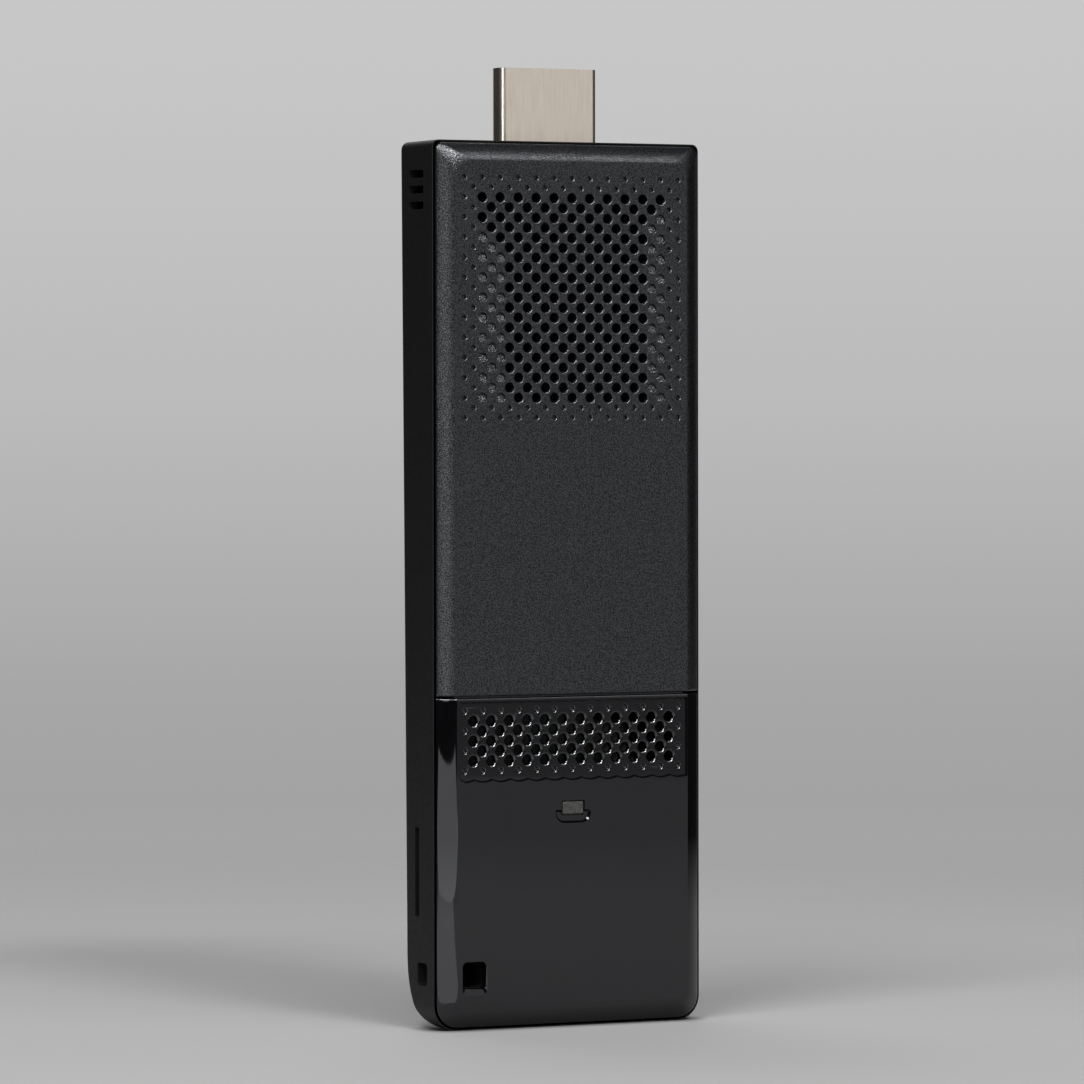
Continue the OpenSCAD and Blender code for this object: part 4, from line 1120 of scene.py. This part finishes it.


# Round floor that fades out towards the backdrop, its colour darkened near the object as a painted
# contact shadow
def makeFloor():
    bm = bmesh.new()
    bmesh.ops.create_circle(bm, cap_ends=True, segments=64, radius=stage["floorRadius"])
    floor = makeObject("floor", bm)
    material, nodes, links, shader = newMaterial("floorPaper")
    shader.inputs["Roughness"].default_value = 0.9
    shader.inputs["Specular IOR Level"].default_value = 0.1
    # Painted shadow: the floor's colour goes to black where the object stands close above it
    contactShadow = nodes.new("ShaderNodeAmbientOcclusion")
    contactShadow.inputs["Distance"].default_value = stage["contactShadow"]
    stops = [(0.0, (0.0, 0.0, 0.0)), (1.0, stage["floor"])]
    links.new(ramp(nodes, links, contactShadow.outputs["AO"], stops), shader.inputs["Base Color"])
    coords = nodes.new("ShaderNodeTexCoord")
    length = nodes.new("ShaderNodeVectorMath")
    length.operation = "LENGTH"
    links.new(coords.outputs["Object"], length.inputs[0])
    fade = mapRange(nodes, links, length.outputs["Value"], 0.0, 1.0,
                    stage["floorFade"], stage["floorRadius"])
    clear = nodes.new("ShaderNodeBsdfTransparent")
    mix = nodes.new("ShaderNodeMixShader")
    links.new(fade, mix.inputs["Fac"])
    links.new(shader.outputs["BSDF"], mix.inputs[1])
    links.new(clear.outputs["BSDF"], mix.inputs[2])
    links.new(mix.outputs["Shader"], nodes["Material Output"].inputs["Surface"])
    floor.data.materials.append(material)


makeFloor()

backdrop = {
    # height of the view direction, and the grey seen there
    "greys": [(-0.20, 0.44), (-0.085, 0.40), (-0.0596, 0.366), (-0.0438, 0.381), (0.0036, 0.497),
              (0.0525, 0.565), (0.0666, 0.572)],
    "ambient": 0.02,
    # direction of the backdrop, and how far round it reaches in reflections
    "ahead": (0.445, 0.895, 0.0),
    "reach": (0.82, 0.92),
}


def makeBackdrop():
    world = bpy.data.worlds.new("studio")
    scene.world = world
    world.use_nodes = True
    nodes, links = world.node_tree.nodes, world.node_tree.links
    background = nodes["Background"]
    coords = nodes.new("ShaderNodeTexCoord")
    split = nodes.new("ShaderNodeSeparateXYZ")
    links.new(coords.outputs["Generated"], split.inputs["Vector"])
    low, high = backdrop["greys"][0][0], backdrop["greys"][-1][0]
    height = mapRange(nodes, links, split.outputs["Z"], 0.0, 1.0, low, high)
    stops = [((z - low) / (high - low), (grey,) * 3) for z, grey in backdrop["greys"]]
    seen = ramp(nodes, links, height, stops)
    path = nodes.new("ShaderNodeLightPath")
    factor, dim, bright, result = colourMix(nodes)
    dim.default_value = (*(backdrop["ambient"],) * 3, 1.0)
    ahead = nodes.new("ShaderNodeVectorMath")
    ahead.operation = "DOT_PRODUCT"
    ahead.inputs[1].default_value = backdrop["ahead"]
    links.new(coords.outputs["Generated"], ahead.inputs[0])
    behind = mapRange(nodes, links, ahead.outputs["Value"], 0.0, 1.0, *backdrop["reach"])
    mirrored = nodes.new("ShaderNodeMath")
    mirrored.use_clamp = True
    links.new(path.outputs["Is Glossy Ray"], mirrored.inputs[0])
    links.new(path.outputs["Is Transmission Ray"], mirrored.inputs[1])
    shown = nodes.new("ShaderNodeMath")
    shown.operation = "MULTIPLY_ADD"
    shown.use_clamp = True
    links.new(mirrored.outputs["Value"], shown.inputs[0])
    links.new(behind, shown.inputs[1])
    links.new(path.outputs["Is Camera Ray"], shown.inputs[2])
    links.new(shown.outputs["Value"], factor)
    links.new(seen, bright)
    links.new(result, background.inputs["Color"])


makeBackdrop()

# Place, target, size and power of each soft panel
lamps = {
    "stripPanel": ((0.34, -0.935, 0.895), (0, 0, 0.06), (1.1, 0.13), 4.0),
    "arcPanel": ((-0.266, -0.928, 0.93), (0, 0, 0.06), (0.85, 0.15), 7.0),
    "keyPanel": ((0.1, -0.958, 0.93), (0, 0, 0.06), (0.3, 0.18), 7.2),
    "leftSidePanel": ((-0.676, -0.491, 1.056), (0, 0, 0.06), (0.5, 0.5), 11.4),
    "leftPanel": ((-0.81, -0.84, 0.28), (0, 0, 0.06), (0.3, 0.44), 1.7),
    "frontRightHigh": ((0.57, -0.99, 0.3), (0, 0, 0.3), (0.82, 0.6), 0.826),
    "frontRightBar": ((0.57, -0.99, -0.0158), (0, 0, -0.0158), (0.82, 0.0317), 0.0185),
    "frontRightLow": ((0.57, -0.99, -0.3159), (0, 0, -0.3159), (0.82, 0.5683), 0.58),
    "backPanel": ((0.1, 0.75, 1.0), (0, 0, 0.0), (0.9, 0.7), 5.85),
}
# Bright paper in front of the left edge, which ends where the dark room begins, as place, turn,
# size and power
papers = {
    "farPaper": ((-0.256, -0.345, 0.0005), -35.0, (0.66, 0.41), 0.937),
    "nearPaper": ((-0.124, -0.079, 0.0005), -35.0, (0.2, 0.178), 0.067),
}


def aim(thing, place, target):
    thing.location = place
    thing.rotation_mode = "QUATERNION"
    thing.rotation_quaternion = (Vector(target) - Vector(place)).to_track_quat("-Z", "Y")


def addLamp(name, size, power):
    light = bpy.data.lights.new(name, "AREA")
    light.shape = "RECTANGLE"
    light.size, light.size_y = size
    light.energy = power
    lamp = bpy.data.objects.new(name, light)
    lamp.visible_camera = False
    scene.collection.objects.link(lamp)
    return lamp


for lampName, (place, target, size, power) in lamps.items():
    aim(addLamp(lampName, size, power), place, target)
for paperName, (place, turn, size, power) in papers.items():
    paper = addLamp(paperName, size, power)
    paper.location = place
    paper.rotation_euler = (math.pi, 0.0, math.radians(turn))

# Camera at the photograph's place
view = {
    "yaw": 26.451,
    "pitch": -1.0724,
    "roll": -0.0901,
    "place": (-0.362815, -0.726406, 0.077037),
    "lens": 209.93,
}


def makeCamera():
    yaw, pitch, tilt = (math.radians(view[key]) for key in ("yaw", "pitch", "roll"))
    level = math.cos(pitch)
    ahead = Vector((math.sin(yaw) * level, math.cos(yaw) * level, math.sin(pitch)))
    across = Vector((math.cos(yaw), -math.sin(yaw), 0.0))
    above = across.cross(ahead)
    right = across * math.cos(tilt) + above * math.sin(tilt)
    up = above * math.cos(tilt) - across * math.sin(tilt)
    turn = Matrix((right, up, -ahead)).transposed()
    data = bpy.data.cameras.new("camera")
    data.sensor_width = 36.0
    data.lens = view["lens"]
    data.clip_start, data.clip_end = 0.01, 20.0
    camera = bpy.data.objects.new("camera", data)
    camera.matrix_world = Matrix.Translation(view["place"]) @ turn.to_4x4()
    scene.collection.objects.link(camera)
    scene.camera = camera


makeCamera()
print("stage, lamps and camera ready")
